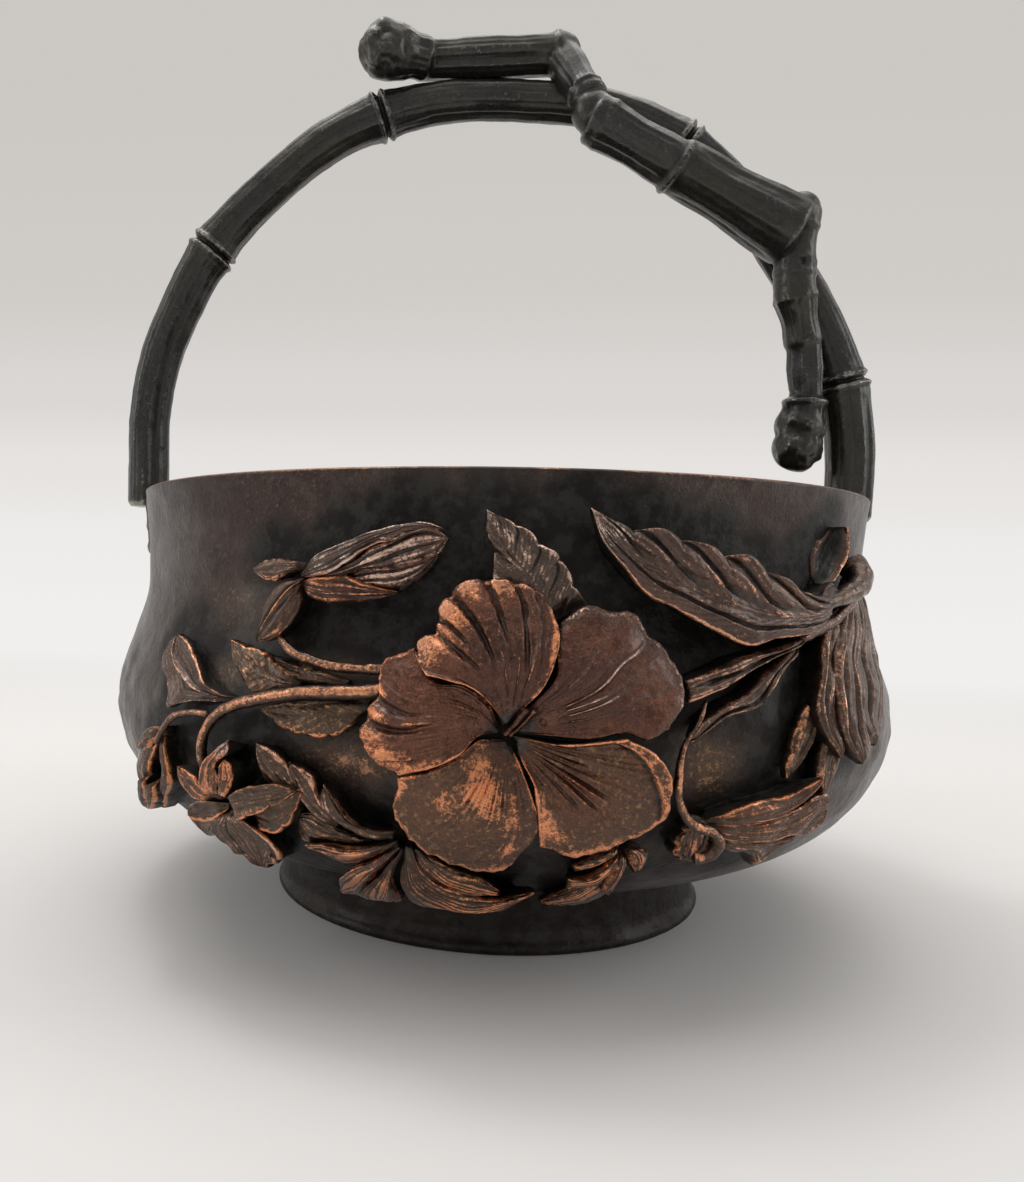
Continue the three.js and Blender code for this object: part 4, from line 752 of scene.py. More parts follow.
LOOKS = {
    "leaf_top": dict(PLAIN, pale=0.7, fine=0.35, veined=(22, 5), pleats=((5, 0.7, 0.45), (5, 0.8, 1.1)),
        teeth=((5, 0.35), (5, 1)), edges=(0.3, 0.75), crest=0.55, tip=0.9, tone=0.1),
    "leaf_right_large": dict(PLAIN, pale=0.25, fine=0.35, veined=(22, 5), pleats=((6.4, 1.5, 2.5), None),
        puff=1.2, rib=0.7, teeth=((6.4, 1.5), (3, 0.5)), edges=(0.3, 1.1), spine=0.35, tip=0.9, crease=0.9,
        tone=0),
    "leaf_right_edge": dict(PLAIN, pale=0.2, tilt=4.5, puff=0, cup=1.2, rib=0, teeth=((2, 0.8), None),
        edges=(0, 0.9), dark=1, tone=0.2),
    "leaf_hang_outer": dict(HANG, pale=0.6, folds=(3.2, 1.7), teeth=(None, (2, 0.8)), curl=1.6,
        edges=(0.35, 0.3)),
    "leaf_hang_middle": dict(HANG, folds=(2.4, 1.6), curl=1.4, edges=(0.25, 0.3)),
    "leaf_hang_inner": dict(HANG, folds=(2.1, 1.4), curl=1, spine=0.15),
    "leaf_hang_small": dict(PLAIN, pale=0.1, folds=(3, 0.4), teeth=((4, 0.7), (3, 0.5)), edges=(0.5, 0.3),
        tone=0.6),
    "leaf_hang_low": dict(PLAIN, pale=0.2, folds=(2.5, 0.5), edges=(0.3, 0.2), tone=0.6),
    "leaf_stem_upper": dict(PLAIN, pale=0.3, folds=(3, 0.25), puff=0.8, rib=-0.5, edges=(0.5, 1), tone=0.2),
    "leaf_stem_lower": dict(PLAIN, pale=0.3, folds=(3, 0.2), puff=0.7, rib=-0.4, edges=(0.3, 1.2), tone=0.1),
    "bud_right_petal_upper": dict(BUD, folds=(6, 0.38), dome=1.1, teeth=((2, 0.3), (3, 0.3)), curl=0.9,
        edges=(0.6, 1.2), tone=0.5),
    "bud_right_petal_middle": dict(BUD, folds=(8, 0.4), dome=1, teeth=((3, 0.3), (3, 0.3)), edges=(0.5, 1),
        crest=0.25, tone=0.7),
    "bud_right_petal_end": dict(BUD, pale=0.3, folds=(4, 0.4), cup=0.7, teeth=((3, 0.5), (3, 0.5)), tone=0.7),
    "bud_right_petal_lower": dict(BUD, pale=0.4, folds=(5, 0.35), dome=0.6, teeth=(None, (3, 0.8)),
        edges=(0.4, 0.4), tone=0.7),
    "bud_left_petal_outer": dict(BUD, pale=0.9, fine=0.7, folds=(4, 0.7), dome=1.5, teeth=(None, (3, 0.5)),
        edges=(0.7, 1.2), tone=0),
    "bud_left_petal_inner": dict(BUD, pale=0.75, fine=0.25, folds=(2.6, 1.3), dome=2.3,
        teeth=(None, (3, 0.4)), edges=(1, 1), crest=0.35, tone=0),
    "bud_left_petal_lower": dict(BUD, fine=0.9, folds=(3.4, 0.6), dome=0.9, teeth=((3, 0.4), None),
        edges=(1.3, 0.35), face=0.15, tone=0),
    "bud_left_calyx_upper": dict(PLAIN, pale=0.2, folds=(3, 0.2), teeth=(None, (5, 0.4)), edges=(0.4, 0.9),
        face=0.1, tone=0.1),
    "bud_left_calyx_lower": dict(PLAIN, folds=(4, 0.25), cup=-0.6, rib=0.9, edges=(0.3, 0.3), spine=0.9,
        dark=0.3),
    "leaf_left_upper": dict(PLAIN, pale=0.35, fine=0.4, line=0.8, puff=-0.4, cup=0.5, rib=0.7,
        teeth=((3, 0.3), (3, 0.3)), edges=(0.4, 0.75), spine=0.25, tip=0.4, tone=0.15),
    "leaf_left_middle": dict(DEEP, line=0.9, pleats=((4, 0.8, 0.5), (3, 0.8, 0.4)), rib=0.5,
        teeth=((5, 0.5), (4, 0.4)), edges=(0.8, 0.45), spine=0.35),
    "leaf_left_back": dict(DEEP, edges=(0.3, 0.2)),
    "leaf_under_branch": dict(DEEP, veined=(12, 3), pleats=(None, None), puff=0.4, rib=0.1,
        teeth=(None, (6, 0.8)), edges=(0.1, 0.75)),
    "leaf_drop": dict(PLAIN, line=0.7, puff=0.2, dome=0.8, rib=0, teeth=((3, 0.4), (3, 0.5)), edges=(0.5, 1),
        tone=0.5),
    "small_petal_up_left": dict(SMALL, fine=0.3, cup=-0.5, edges=(0.9, 0.5), face=0.5, tip=0.9, tone=0.3),
    "small_petal_up_right": dict(SMALL, fine=0.3, cup=-0.3, edges=(0.4, 0.6), face=0.5, tone=0.3),
    "small_petal_left_upper": dict(SMALL, cup=-0.3, edges=(0.8, 0.5), face=0.3, tone=0.4),
    "small_petal_left": dict(SMALL, line=1.2, edges=(0.4, 1.4), dark=0.2),
    "small_petal_right": dict(SMALL, folds=(4, 0.2), teeth=(None, (3, 0.7)), edges=(0.4, 1.1)),
    "small_petal_right_back": dict(SMALL, cup=0.6, teeth=(None, (4, 0.8)), edges=(0.4, 1.2)),
    "small_petal_bottom": dict(SMALL, pale=0.5, folds=(5, 0.35), cup=0.6, edges=(1, 0.4), tone=0.5),
    "small_petal_bottom_left": dict(SMALL, pale=0.5, folds=(4, 0.2), cup=0.4, edges=(0.3, 0.4), tone=0.8),
    "leaf_lobed_left": dict(PLAIN, pale=0.35, folds=(3, 0.25), puff=0.2, dome=0.9, rib=-0.2,
        edges=(0.85, 0.15), tone=0.5),
    "leaf_fan_left": FINGER,
    "leaf_fan_right": dict(FINGER, edges=(0.8, 0.6)),
}


def crimp(x):
    """Rounded lobes with sharp creases between them, from -0.6 to 0.4."""
    return np.sqrt(np.clip(1 - (2 * (x % 1) - 1) ** 2, 0, 1)) - 0.6


def leaf(name, lift, outline, form=None, part=0):
    form = form or LOOKS[name]
    a, middle, b = paths(outline)
    length = np.linalg.norm(np.diff(middle, axis=0), axis=1).sum()
    width = max(np.linalg.norm(along(a, s) - along(b, s)) for s in (0.3, 0.5, 0.7))
    size = (int(np.clip(length / 0.3, 30, 220)), 2 * int(np.clip(width / 0.5, 10, 40)))
    seed = sum(map(ord, name)) % 17 + part

    def notch(u, teeth, pleats):
        if teeth is None:
            return 0.05 * np.sin(u * 40 + seed)
        count, depth = teeth
        slant = pleats[1] if pleats else 0.0
        return (crimp(u * count - slant) - 0.4) * depth * np.sin(np.pi * u) ** 0.4

    def place(u, v):
        u = np.asarray(u, float)
        pa, pm, pb = along(a, u), along(middle, u), along(b, u)
        away = pa - pb
        wide = np.linalg.norm(away, axis=-1, keepdims=True)
        away = away / np.maximum(wide, 1e-6) * np.clip(wide / 3, 0, 1)
        first, second = (notch(u, *side)[..., None] for side in zip(form["teeth"], form["pleats"]))
        pa, pb = pa + away * first, pb - away * second
        v = np.asarray(v)[..., None]
        p = np.where(v < 0.5, mix(pa, pm, 2 * v), mix(pm, pb, 2 * v - 1))
        return p[..., 0] + form["sway"] * np.sin(7 * u + seed) * np.sin(np.pi * u), p[..., 1]

    def lines(u, v):
        w = np.abs(2 * v - 1)
        if form["veined"]:
            count, slant = form["veined"]
            phase = u * count - w * slant + 0.3 * np.sin(u * 9 + seed) + np.where(v > 0.5, 0.4, 0)
        else:
            phase = v * width / 1.15 + 0.35 * np.sin(u * 4 + v * 9 + seed) + 0.1 * np.sin(u * 17)
        return np.sin(2 * np.pi * phase) * smooth(0.02, 0.15, u) * smooth(1, 0.94, w)

    def edges(u, v):
        w = np.abs(2 * v - 1)
        wavy = 1.25 + 0.25 * np.sin(u * 23 + seed) + 0.1875 * np.sin(u * 61 + 2 * seed)
        return bell((1 - w) * width, form["line"]) * wavy * np.where(v < 0.5, *form["edges"])

    def front(u, v):
        w = np.abs(2 * v - 1)
        full = np.sin(np.pi * np.clip(u, 0.02, 0.98)) ** 0.6
        h = lift + form["puff"] * (np.sin(np.pi * w ** 0.8) - 0.35) * full
        h = h + form["dome"] * (0.6 - w * w) * full
        h = h - form["cup"] * (1 - w * w) * full + form["curl"] * smooth(0.8, 1, u) + form["tilt"] * (v - 0.5)
        h = h - 0.3 * lift * bell(u, 0.1)
        h = h + form["rib"] * bell(w, 0.09) * (1.2 - u) ** 0.5
        h = h - 0.25 * abs(form["rib"]) * bell(w - 0.2, 0.08) * full
        for side, pleat in zip((v < 0.5, v >= 0.5), form["pleats"]):
            if pleat:
                count, slant, depth = pleat
                wave = u * count - w * slant + 0.06 * np.sin(u * 21 + seed)
                h = h + side * depth * crimp(wave) * smooth(0.04, 0.4, w) * full
        if form["folds"]:
            count, depth = form["folds"]
            h = h + depth * crimp(v * count + 0.12 * np.sin(u * 5 + seed) + 0.3) * full
        h = h - form["crease"] * (v > 0.5) * bell(w - 0.52 + 0.1 * u, 0.06) * full
        h = h + 0.3 * np.sin(length * u / 2.2 + 3 * v + seed) * np.sin(2.5 * w + seed) * full
        h = h + 0.1 * form["fine"] * lines(u, v) + 0.3 * np.minimum(edges(u, v), 0.9)
        return np.maximum(h, 0.8)

    # Painted shade at the root and, where dark is set, down the middle. The engraved lines are darker in
    # their grooves.
    def shade(u, v):
        w = np.abs(2 * v - 1)
        engraved = 0.75 * form["fine"] * smooth(0.35, 0.95, -lines(u, v))
        return highest(smooth(0.14, 0.0, u) * 0.7, engraved, form["dark"] * (1 - smooth(0.4, 0.9, w)))

    def rub(u, v):
        w = np.abs(2 * v - 1)
        return highest(edges(u, v), 0.3 * form["fine"] * smooth(0.4, 1, lines(u, v)),
                       form["spine"] * bell(w, 0.1), form["crest"] * bell(w, 0.55) * smooth(0.12, 0.5, u),
                       form["face"], form["tip"] * smooth(0.82, 1, u))

    # Grey patina, which also paints the rubbed places silvery as a painted highlight, most at the tip.
    def pale(u, v):
        return np.maximum(form["pale"], form["tip"] * smooth(0.7, 0.95, u)) + 0 * v

    material = FLOWER if "petal" in name else LEAF
    return relief(name, place, front, size, 1.7, material, form["tone"], shade, rub, 0.12, pale)


# Stems: radii at both ends, how bright the top is rubbed and lit (worn copper with a painted highlight on
# the side that faces out and up), and (across, up, height) along each. STALKS are grown together with the
# leaf or stem of the same name, and CALYX is the ragged one on which the lower right bud sits.
STEMS = {
    "branch_left": ((1.45, 1.2), 0.5, "-19,71,6 -28.5,70.2,6 -37,69.5,6.5 -46,67.5,6.5 -53.5,65.2,6 "
        "-58.8,61.5,5.5 -61.2,57,5.5 -61.8,52,5 -60.5,47.5,4"),
    "stem_right": ((3.1, 1.5), 0, "100.8,99.5,2 100.3,97.3,4.4 97.8,95,6.2 92.5,92.8,6.8 86,91.1,6.8 "
        "79,89.6,6.3"),
    "stem_bud_right": ((0.5, 1), 0.45, "43.5,70.5,4 40,66,5.5 37,62,5.5 35.7,56.5,6 36.2,51.5,6 38.6,47.6,6 "
        "42,45.4,6 44,44.6,6"),
    "stem_bud_left": ((0.95, 1.15), 0.4, "-46,80.5,5 -41,77.5,6 -36,76,6 -29.5,75,6 -20,75,6"),
    "stem_drop": ((0.7, 0.8), 0.4, "-61,62.5,4 -66,62.5,5 -71.5,61,5 -75.5,57,5.5 -78,54,5.5"),
}
STALKS = {
    "stem_bud_right": ((1, 1.5), 0.5, "42,45.6,5.6 45.5,44,6 47,41.6,6 46,38.8,5.4 43.4,38.4,4.6"),
    "leaf_stem_upper": ((1.7, 1.1), 0.1, "95,91.5,5.5 88,87.5,5.5 80,84.8,5.5 70,82.3,5.8"),
}
CALYX = (4.6, "40.8,47 38.6,43.5 39.6,39 43.4,36.8 / 41,47.5 42,43 42.2,39 43.6,37 / 43,47.3 47.2,44.5 "
         "48.2,40.4 44.5,36.8")
CALYX_LOOK = dict(PLAIN, folds=(4, 0.7), dome=0.6, teeth=((4, 0.9), (4, 0.8)), edges=(0.6, 0.6), crest=0.4)
STAMEN = [((0.55, 0.6), 0, "3.4,63.4,3 5.4,66.2,5.2 7.2,69,7"),
          ((0.5, 0.5), 0.1, "4.4,63.2,3 6.8,66,5 8.8,68.8,6.8"),
          ((0.8, 0.5), 0.15, "9.6,67.4,4 10.4,66.4,5.6 11.3,65.2,4.8")]


def stem(name, radii, much, line, material=LEAF):
    s = np.linspace(0, 1, 240)
    r = mix(*radii, smooth(0, 1, s)) * (1 + 0.05 * np.sin(s * 14) + 0.03 * np.sin(s * 37))
    r = r * np.sqrt(np.clip(np.minimum(s, 1 - s) / 0.03, 0.03, 1))
    centres = on_wall(*along(path(line), s).T)
    points, faces = tube(centres, r, 24, centres * [1, 1, 0])
    points = roughened(points, faces, (0.16, 2.4, 8), (0.07, 1.0, 9))
    # The side facing out and up is rubbed bright, wear with a painted highlight; the side towards the wall
    # and down is painted in shade.
    top = (normals(points, faces) * unit(points * [1, 1, 0] + [0, 0, 30])).sum(1)
    proud = ridges(points, faces, 0.6)
    values = {"ridge": proud - np.median(proud), "edge": 1.5 * much * smooth(0.6, 1.0, top),
              "shade": smooth(0.3, -0.4, top), "tone": np.full(len(points), 0.25),
              "pale": np.full(len(points), 0.8 if "right" in name and "bud" not in name else 0.1)}
    return points, faces, material, values


def stalk(name):
    return [stem(name, *STALKS[name])] if name in STALKS else []


for name, shape in LEAVES.items():
    add(name, leaf(name, *shape), *stalk(name))
for name, lobes in LOBES.items():
    add(name, *(leaf(name, *shape, part=part) for part, shape in enumerate(lobes)))
for name, shape in STEMS.items():
    made = stalk(name)
    add(name, stem(name, *shape), *made, *([leaf(name, *CALYX, CALYX_LOOK)] if made else []))
add("flower_stamen", *(stem("flower_stamen", *shape, FLOWER) for shape in STAMEN))


# Bowl, with the hammered look of its wall, and painted shade on the ground round the relief. Places on it
# where the ground is olive and where it is rubbed bright: (across, up, reach across, reach up, how much)
OLIVE_GROUND = ((46, 57, 7.5, 7.5, 1.0), (-28, 56, 12, 6, 1.0), (-13, 35, 10, 4, 0.5), (30, 38, 12, 4, 0.6),
                (-60, 84, 16, 7, 0.5), (-34, 73.5, 9, 3, 0.9), (-62, 71, 6, 4, 0.8))
RUBBED_GROUND = ((-29, 56, 4, 2.2, 1.0), (-24.5, 54, 4, 2.6, 1.1), (-20, 51.5, 3.5, 2.6, 1.1),
                 (-17.5, 48.5, 2.5, 2.5, 1.0), (-16.2, 88, 5, 0.9, 0.6), (45, 53.5, 6, 1.8, 0.8),
                 (28, 39, 9, 1.6, 0.7))
FAR = 60.0


def bowl():
    shoulder, floor = RIM_HEIGHT - LIP, FOOT_HEIGHT + WALL
    z = FOOT_HEIGHT + (shoulder - FOOT_HEIGHT) * np.linspace(0, 1, 112) ** 1.4
    outer = np.stack([wall_radius(z), z], -1)
    slope = wall_slope(z)
    lean = np.hypot(1, slope)
    inner = np.stack([wall_radius(z) - WALL / lean, np.minimum(z + WALL * slope / lean, shoulder)], -1)[::2]
    inner = inner[inner[:, 1] > floor + 0.4]
    turn = np.linspace(0, np.pi, 9)[1:-1]
    lip = np.stack([RIM_RADIUS + WALL / 2 * (np.cos(turn) - 1), shoulder + LIP * np.sin(turn)], -1)
    base = [(r, FOOT_HEIGHT) for r in (0.01, 20, 40, 55, 61)]
    bottom = [(r, floor) for r in (FOOT_RADIUS, 60, 50, 35, 20, 0.01)]
    points, faces = revolve(np.concatenate([base, outer, lip, inner[::-1], bottom]), 480)
    n = normals(points, faces)
    x, y, z = points.T
    rise = smooth(FOOT_HEIGHT + 1, FOOT_HEIGHT + 12, z) * smooth(RIM_HEIGHT - 0.2, RIM_HEIGHT - 6, z)
    hammered = bell(z - 58, 26) * smooth(0.5, 0.85, np.abs(x) / BELLY_RADIUS)
    dent = 0.22 * noise(points, 17, 1) + 0.13 * noise(points, 8, 2)
    dent = dent + (0.05 + 0.4 * hammered) * noise(points, 5, 3) + 0.06 * hammered * noise(points, 2.6, 4)
    points = points + n * (dent * rise)[:, None]
    x, y, z = points.T
    outside = n[:, 0] * x + n[:, 1] * y > 0
    around = np.arctan2(x, -y) * BELLY_RADIUS
    cloud = np.concatenate(relief_points)
    tree = kdtree.KDTree(len(cloud))
    for k, point in enumerate(cloud):
        tree.insert(point, k)
    tree.balance()
    near = np.full(len(points), FAR)
    for i in np.nonzero(outside & (y < 5))[0]:
        near[i] = tree.find(points[i])[2]
    near = near + 3 * noise(points, 9, 31) + 1.5 * noise(points, 4, 32)

    def patches(places):
        return highest(*(much * outside * bell(around - across, wide) * bell(z - up, tall)
                         for across, up, wide, tall, much in places))

    olive = patches(OLIVE_GROUND)
    # Painted shade: the front ground darkens close to the relief, less on olive patches, and the inside of
    # the bowl is painted in shade.
    shade = np.where(outside, smooth(13, 5, near) * 0.92 * (1 - olive), 0.35)
    edge = np.maximum(smooth(shoulder, RIM_HEIGHT - 0.1, z) * 1.3, patches(RUBBED_GROUND))
    values = {"ridge": 0.6 * ridges(points, faces, 2.0) * rise, "edge": edge, "shade": shade, "tone": olive}
    piece("bowl", points, faces, BOWL, values)


bowl()

# Foot ring: mm outside the foot radius, and height, up its outer side
FOOT_PROFILE = "0.2,0 0.9,0.5 1.1,1.3 0.8,2.2 0.1,3.2 -0.5,4.6 -0.7,8 -0.6,12 -0.2,15.5"


def foot_ring():
    top, inside = FOOT_HEIGHT - 0.2, FOOT_RADIUS - 5
    profile = [(inside, 0.6), (inside + 0.6, 0), *(path(FOOT_PROFILE) + (FOOT_RADIUS, 0)),
               (FOOT_RADIUS + 0.2, top), (inside, top), (inside, 9), (inside, 0.6)]
    points, faces = revolve(along(profile, np.linspace(0, 1, 90)), 300)
    n = normals(points, faces)
    points = points + n * (0.12 * noise(points, 9, 4) * smooth(0.5, 3, points[:, 2]))[:, None]
    points[:, 2] = np.maximum(points[:, 2], 0)
    zero = np.zeros(len(points))
    # The foot ring is painted in shade all over, as it stands under the belly.
    values = {"ridge": 0.5 * ridges(points, faces, 1.5), "edge": zero, "shade": zero + 0.7, "tone": zero}
    piece("foot_ring", points, faces, BOWL, values)


foot_ring()

# Handle: a place in its own upright plane is (to the right, up, forward)
HANDLE_TURN = math.radians(3.8)
HANDLE_BACK = np.array([0, 2.3, 0])
HALF_SPAN, RISE = 109.6, 126.0
SIDE = np.array([math.cos(HANDLE_TURN), math.sin(HANDLE_TURN), 0])
FRONT = np.array([math.sin(HANDLE_TURN), -math.cos(HANDLE_TURN), 0])
ENDS = {"left": -1.0, "right": 0.995}
ARCH_LINE = path("-1,-0.024 -1,0.06 -1,0.2 -0.97,0.355 -0.93,0.448 -0.843,0.6 -0.69,0.755 -0.434,0.925 "
                 "-0.21,0.99 0.04,1 0.371,0.955 0.516,0.885 0.67,0.765 0.829,0.572 0.918,0.43 0.965,0.315 "
                 "0.993,0.18 0.995,0.05 0.993,-0.024")
ARCH_NODES = (0.212, 0.395, 0.665, 0.895)
NODE_BOUNDS = np.r_[-0.1, ARCH_NODES, 1.1]


def in_handle(u, z, forward=0.0):
    places = (np.asarray(place, float)[..., None] for place in (u, forward, z))
    return sum(place * way for place, way in zip(places, (SIDE, FRONT, [0, 0, 1]))) + HANDLE_BACK


def bend(angle, middle, width):
    """A bell round a cane's section, at the middle angle."""
    return bell(np.angle(np.exp(1j * (angle - middle))), width)


def arch():
    s = np.linspace(0, 1, 900)
    line = along(ARCH_LINE, s)
    centres = in_handle(line[:, 0] * HALF_SPAN, RIM_HEIGHT + line[:, 1] * RISE)
    length = np.linalg.norm(np.diff(centres, axis=0), axis=1).sum()

    def share(t):
        """The internode of each station, and its share of the way along it."""
        cell = np.searchsorted(ARCH_NODES, t)
        return cell, (t - NODE_BOUNDS[cell]) / (NODE_BOUNDS[cell + 1] - NODE_BOUNDS[cell])

    r = mix(6.7, 7.3, smooth(0.7, 1, s)) - 0.45 * np.sin(np.pi * share(s)[1])
    for node in ARCH_NODES:
        d = (s - node) * length
        r = r + 0.95 * bell(np.abs(d) - 1.5, 0.8) + 0.35 * bell(np.abs(d) - 3.2, 2.2) - 0.8 * bell(d, 0.42)
    ends = np.minimum(np.minimum(s, 1 - s) * length / 2, 1)
    r = r * np.sqrt(1 - (1 - ends) ** 2 * 0.30)

    def shape(turn, t):
        cell, along_it = share(t)
        phase = cell * 2.3 + 0.6
        run = smooth(0.04, 0.2, along_it) * smooth(0.98, 0.75, along_it)
        groove = -(0.9 * bend(turn, phase, 0.3) + 0.5 * bend(turn, phase + 2.2, 0.16)) * run
        lines = 0.12 * np.sin(turn * 9 + phase + np.sin(t * 60) * 0.7) + 0.07 * np.sin(turn * 23 + phase * 2)
        return groove + lines + 0.16 * np.cos(turn * 3 + phase)

    points, faces = tube(centres, r, 72, FRONT, shape)
    return roughened(points, faces, (0.16, 6, 5), (0.08, 2.5, 6)), faces


# Riveted tongue under each end of the arch, following the neck
TONGUE = (12.7, 19.0, 4.0)
RIVET_DROPS = (8.4, 15.4)


def tongue(span):
    end = in_handle(span * HALF_SPAN, RIM_HEIGHT)
    middle = math.atan2(end[0], -end[1]) * BELLY_RADIUS
    width, length, thick = TONGUE

    def place(u, v):
        narrow = np.sqrt(1 - smooth(0.65, 1, u) ** 2 * 0.8)
        return middle + (v - 0.5) * width * narrow, RIM_HEIGHT - 0.5 - (length - 0.5) * u

    def front(u, v):
        return thick + 0.3 - 0.5 * np.abs(2 * v - 1) ** 3 + 0 * u

    return relief("handle_arch", place, front, (60, 50), 2.0, HANDLE, rim=0.4)


def handle_part(points, faces, reach=1.0, edge=0.0):
    zero = np.zeros(len(points))
    proud = ridges(points, faces, reach)
    values = {"ridge": proud - np.median(proud), "edge": zero + edge,
              "shade": zero, "tone": zero, "pale": zero}
    return points, faces, HANDLE, values


add("handle_arch", handle_part(*arch()), *map(tongue, ENDS.values()))

# Second cane, as (to the right, up from the crown, forward): its internodes, with the radius at both ends;
# its knuckles, with a radius; the collars between, from one end to the other, with a radius; and its two
# knobs
CROWN = RIM_HEIGHT + RISE
BRANCH = [path(line) for line in (
    "-24,12,1,6.2 -34,12.5,5,8.4", "-28,12,0,6.2 17,13.4,1,6.4", "17,13.6,1,6.2 25,-6,12,5.7",
    "25.5,-11,12,7.4 51,-25.5,12,7.3", "51,-24.5,11,8 86.5,-44.5,10,10.3", "88.3,-37,11,5.6 86.8,-57,10,5.9",
    "87,-60,10,6.3 91.4,-76,7.5,5.3", "91.4,-76,7.5,5.3 93.2,-93,6,5", "92.8,-94,5.5,6.4 92,-108,4.5,6.8")]
KNUCKLES = path("17.2,14,1,6.2 25.6,-9.5,12,6.3 51,-25.5,11.5,7.6 88.3,-37.5,11,5.2 87,-59,10,6 "
                "92,-100.5,5,7.3 91.4,-107,5,7.3 -36.5,12,6,8.6")
COLLARS = path("-26.5,12,0.5,-34,12.5,5,7.4 14.5,13.6,1,18,13.7,1,7.2 22.6,0,9,24.8,-6,12,6.2 "
               "28,-12.4,12,31,-14.1,12,7.9 49.5,-24.6,11.8,52,-26,11.4,8.7 87.8,-41,11,87.6,-44,10.8,6 "
               "87.1,-55.5,10,87,-57,10,6.4 87.5,-62,9.8,88.2,-64.5,9.5,6.5 93,-92,6,92.9,-95,5.8,6.8")
KNOBS = path("-38,12,8 92.3,-106,8")
KNOB_RADIUS, CUT_END, COLLAR_HALF, VOXEL = 7, 0.86, 1.15, 0.55


def remeshed(points, faces):
    """One skin round all the solids, of even small faces."""
    form = link("branch_form", mesh_of("branch_form", points, faces))
    remesh = form.modifiers.new("remesh", "REMESH")
    remesh.mode = "VOXEL"
    remesh.voxel_size = VOXEL
    bpy.context.view_layer.update()
    done = form.evaluated_get(bpy.context.evaluated_depsgraph_get()).to_mesh()
    points = np.empty(len(done.vertices) * 3)
    done.vertices.foreach_get("co", points)
    faces = np.array([(*face.vertices, face.vertices[2])[:4] for face in done.polygons])
    form.to_mesh_clear()
    bpy.data.objects.remove(form)
    return points.reshape(-1, 3), faces


def branch():
    parts = []

    def solid(line, radii):
        line = np.array(line)
        parts.append(tube(in_handle(line[:, 0], CROWN + line[:, 1], line[:, 2]), radii, 40, FRONT))

    starts, ends = ([tuple(pair[k]) for pair in BRANCH] for k in (0, 1))
    s = np.linspace(0, 1, 40)
    for start, end in BRANCH:
        r = mix(start[3], end[3], s) - 0.35 * np.sin(np.pi * s) + 0.25 * np.sin(s * 9 + start[0])
        r[0] *= 1 if tuple(start) in ends else CUT_END
        r[-1] *= 1 if tuple(end) in starts else CUT_END
        solid(mix(start[:3], end[:3], s[:, None]), r)
    s = np.linspace(-1, 1, 9)
    for collar in COLLARS:
        start, end = collar[:3], collar[3:6]
        line = (start + end) / 2 + s[:, None] * COLLAR_HALF * unit(end - start)
        solid(line, collar[6] * (1 - 0.16 * np.abs(s) ** 2.5))
    a = np.linspace(0.12, np.pi - 0.12, 15)
    for u, drop, forward, radius in KNUCKLES:
        solid(np.stack([u + 0 * a, drop - np.cos(a) * radius, forward + 0 * a], -1), np.sin(a) * radius)
    points, faces = remeshed(*joined(parts))
    points = relaxed(points, faces, 3)
    local = (points - HANDLE_BACK) @ np.stack([SIDE, [0, 0, 1], FRONT], 1) - [0, CROWN, 0]
    best, seam, run = np.full(len(points), 1e9), np.zeros(len(points)), np.zeros(len(points))
    for k, (start, end) in enumerate(BRANCH):
        way = (end - start)[:3]
        t = np.clip(((local - start[:3]) @ way) / (way @ way), 0, 1)
        off = local - (start[:3] + t[:, None] * way)
        gap = np.linalg.norm(off, axis=1) - mix(start[3], end[3], t)
        across = unit(np.cross(unit(way), [0, 0, 1.0]))
        angle = np.arctan2(off @ np.cross(unit(way), across), off @ across)
        closer = gap < best
        best = np.where(closer, gap, best)
        seam = np.where(closer, angle + k * 1.7, seam)
        run = np.where(closer, smooth(0.02, 0.2, t) * smooth(0.98, 0.8, t), run)
    groove = 0.14 * np.sin(seam * 9) + 0.08 * np.sin(seam * 21)
    groove = groove - 0.7 * bend(seam, 0.6, 0.3) - 0.5 * bend(seam, -1.4, 0.2)
    to_knob = np.min([np.linalg.norm(local - knob, axis=1) for knob in KNOBS], axis=0)
    rough = smooth(4, 0, to_knob - KNOB_RADIUS)
    bumps = 0.14 * noise(points, 5, 11) + 0.08 * noise(points, 2.2, 12)
    bumps = bumps + rough * (0.75 * noise(points, 3.6, 13) + 0.35 * noise(points, 1.7, 14))
    return points + normals(points, faces) * (groove * run * (1 - rough) + bumps)[:, None], faces


add("handle_branch", handle_part(*branch()))

# Rivets, with hammered domes inside the neck: radius and place along the shank
RIVET = path("0.01,-4.9 1.3,-4.8 2.3,-4.4 2.9,-3.9 3,-3.4 1.6,-3.3 1.6,4.4 2.5,4.5 2.4,4.9 1.6,5.4 0.01,5.6")
for side, span in ENDS.items():
    flat = unit(in_handle(span * HALF_SPAN, RIM_HEIGHT) * [1, 1, 0])
    for number, drop in enumerate(RIVET_DROPS, 1):
        z = RIM_HEIGHT - drop
        points, faces = revolve(along(RIVET, np.linspace(0, 1, 70)), 40)
        turn = Vector((0, 0, 1)).rotation_difference(Vector(unit(flat - [0, 0, wall_slope(z)]))).to_matrix()
        points = points @ np.array(turn).T + flat * wall_radius(z) + [0, 0, z]
        points = roughened(points, faces, (0.1, 1.6, 20))
        add(f"handle_rivet_{side}_{number}", handle_part(points, faces, 0.6, edge=0.25))

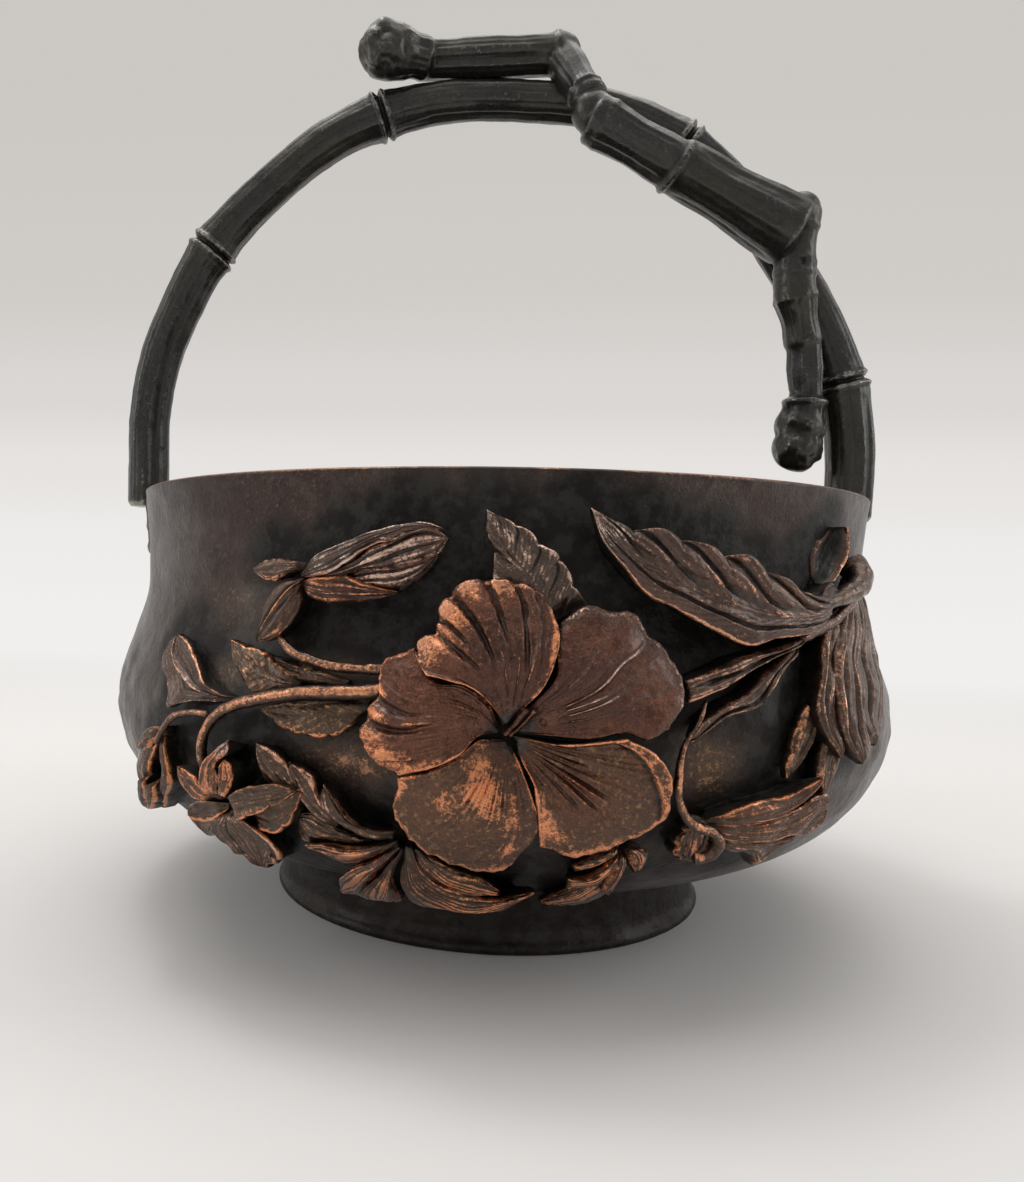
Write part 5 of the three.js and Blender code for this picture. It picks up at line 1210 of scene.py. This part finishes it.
# Floor and backdrop in one sweep, plain and near white, lit by the lamps near the bowl where it takes its
# shadow. Farther back it glows for camera, glossy and transmission rays with a painted falloff of light,
# bright low down and darker higher up.
SWEEP_HALF = 4.0
SWEEP_RADIUS, SWEEP_START = 0.9, 1.1
SWEEP_GLOW_FALLOFF = ((0.0, (0.88, 0.865, 0.85)), (0.09, (0.85, 0.835, 0.82)), (0.2, (0.79, 0.765, 0.745)),
               (0.32, (0.70, 0.675, 0.655)), (0.5, (0.63, 0.60, 0.575)), (0.8, (0.60, 0.575, 0.545)),
               (1.0, (0.60, 0.575, 0.545)))


def glowing_sweep():
    material = bpy.data.materials.new("backdrop_glowing_sweep")
    material.use_nodes = True
    nodes, links = material.node_tree.nodes, material.node_tree.links
    shader = nodes["Principled BSDF"]
    shader.inputs["Base Color"].default_value = (0.84, 0.825, 0.81, 1)
    shader.inputs["Roughness"].default_value = 0.9
    shader.inputs["Specular IOR Level"].default_value = 0.1
    place = nodes.new("ShaderNodeSeparateXYZ")
    links.new(nodes.new("ShaderNodeTexCoord").outputs["Object"], place.inputs[0])

    def reach(axis, low, high, kind="LINEAR"):
        made = nodes.new("ShaderNodeMapRange")
        made.interpolation_type = kind
        made.inputs["From Min"].default_value = low
        made.inputs["From Max"].default_value = high
        links.new(place.outputs[axis], made.inputs["Value"])
        return made.outputs["Result"]

    def do(operation, a, b):
        made = nodes.new("ShaderNodeMath")
        made.operation = operation
        links.new(a, made.inputs[0])
        links.new(b, made.inputs[1])
        return made.outputs[0]

    # Painted light: far back the sweep glows, bright low down and darker higher up, instead of taking the
    # lamps.
    glow_falloff = nodes.new("ShaderNodeValToRGB")
    glow_falloff.color_ramp.interpolation = "EASE"
    while len(glow_falloff.color_ramp.elements) < len(SWEEP_GLOW_FALLOFF):
        glow_falloff.color_ramp.elements.new(0.5)
    for element, (at, colour) in zip(glow_falloff.color_ramp.elements, SWEEP_GLOW_FALLOFF):
        element.position = at
        element.color = (*colour, 1)
    links.new(reach("Z", 0, 1.6), glow_falloff.inputs["Fac"])
    glow = nodes.new("ShaderNodeEmission")
    links.new(glow_falloff.outputs["Color"], glow.inputs["Color"])
    rays = nodes.new("ShaderNodeLightPath").outputs
    seen = do("MAXIMUM", rays["Is Camera Ray"], rays["Is Glossy Ray"])
    seen = do("MAXIMUM", seen, rays["Is Transmission Ray"])
    paper_and_glow = nodes.new("ShaderNodeMixShader")
    links.new(do("MULTIPLY", seen, reach("Y", 0.16, 0.75, "SMOOTHSTEP")), paper_and_glow.inputs["Fac"])
    links.new(shader.outputs["BSDF"], paper_and_glow.inputs[1])
    links.new(glow.outputs["Emission"], paper_and_glow.inputs[2])
    links.new(paper_and_glow.outputs["Shader"], nodes["Material Output"].inputs["Surface"])
    return material


def backdrop():
    turn = np.linspace(0, np.pi / 2, 24)
    curve = np.stack([SWEEP_START + SWEEP_RADIUS * np.sin(turn), SWEEP_RADIUS * (1 - np.cos(turn))], -1)
    profile = np.concatenate([[(-3.0, 0.0), (-1.0, 0.0)], curve, [(2.0, 4.0)]])
    points = np.array([(x, y, z) for y, z in profile for x in (-SWEEP_HALF, SWEEP_HALF)])
    mesh = mesh_of("backdrop", points, quads(len(profile), 2, closed=False))
    mesh.materials.append(glowing_sweep())
    link("backdrop", mesh)


backdrop()


def lamp(name, place, size, watts, colour=(1, 1, 1)):
    data = bpy.data.lights.new(name, "AREA")
    data.shape = "RECTANGLE"
    data.size, data.size_y = size
    data.energy = watts
    data.color = colour
    made = link(name, data)
    made.location = place
    made.rotation_euler = (Vector((0, 0, 0.1)) - Vector(place)).to_track_quat("-Z", "Y").to_euler()


lamp("overhead", (-0.08, 0.14, 1.2), (1.5, 1.3), 8.4, (1, 0.985, 0.96))
lamp("key", (-0.3, 0.1, 1.15), (0.28, 0.22), 1.5)
lamp("left", (-1.1, -0.35, 0.55), (0.4, 0.8), 2.6)
lamp("right", (1.2, -0.05, 0.6), (0.5, 0.8), 3.1)

world = bpy.data.worlds.new("studio")
bpy.context.scene.world = world
world.use_nodes = True
world.node_tree.nodes["Background"].inputs["Color"].default_value = (1, 0.99, 0.98, 1)
world.node_tree.nodes["Background"].inputs["Strength"].default_value = 0.46
bpy.context.scene.view_settings.view_transform = "Standard"
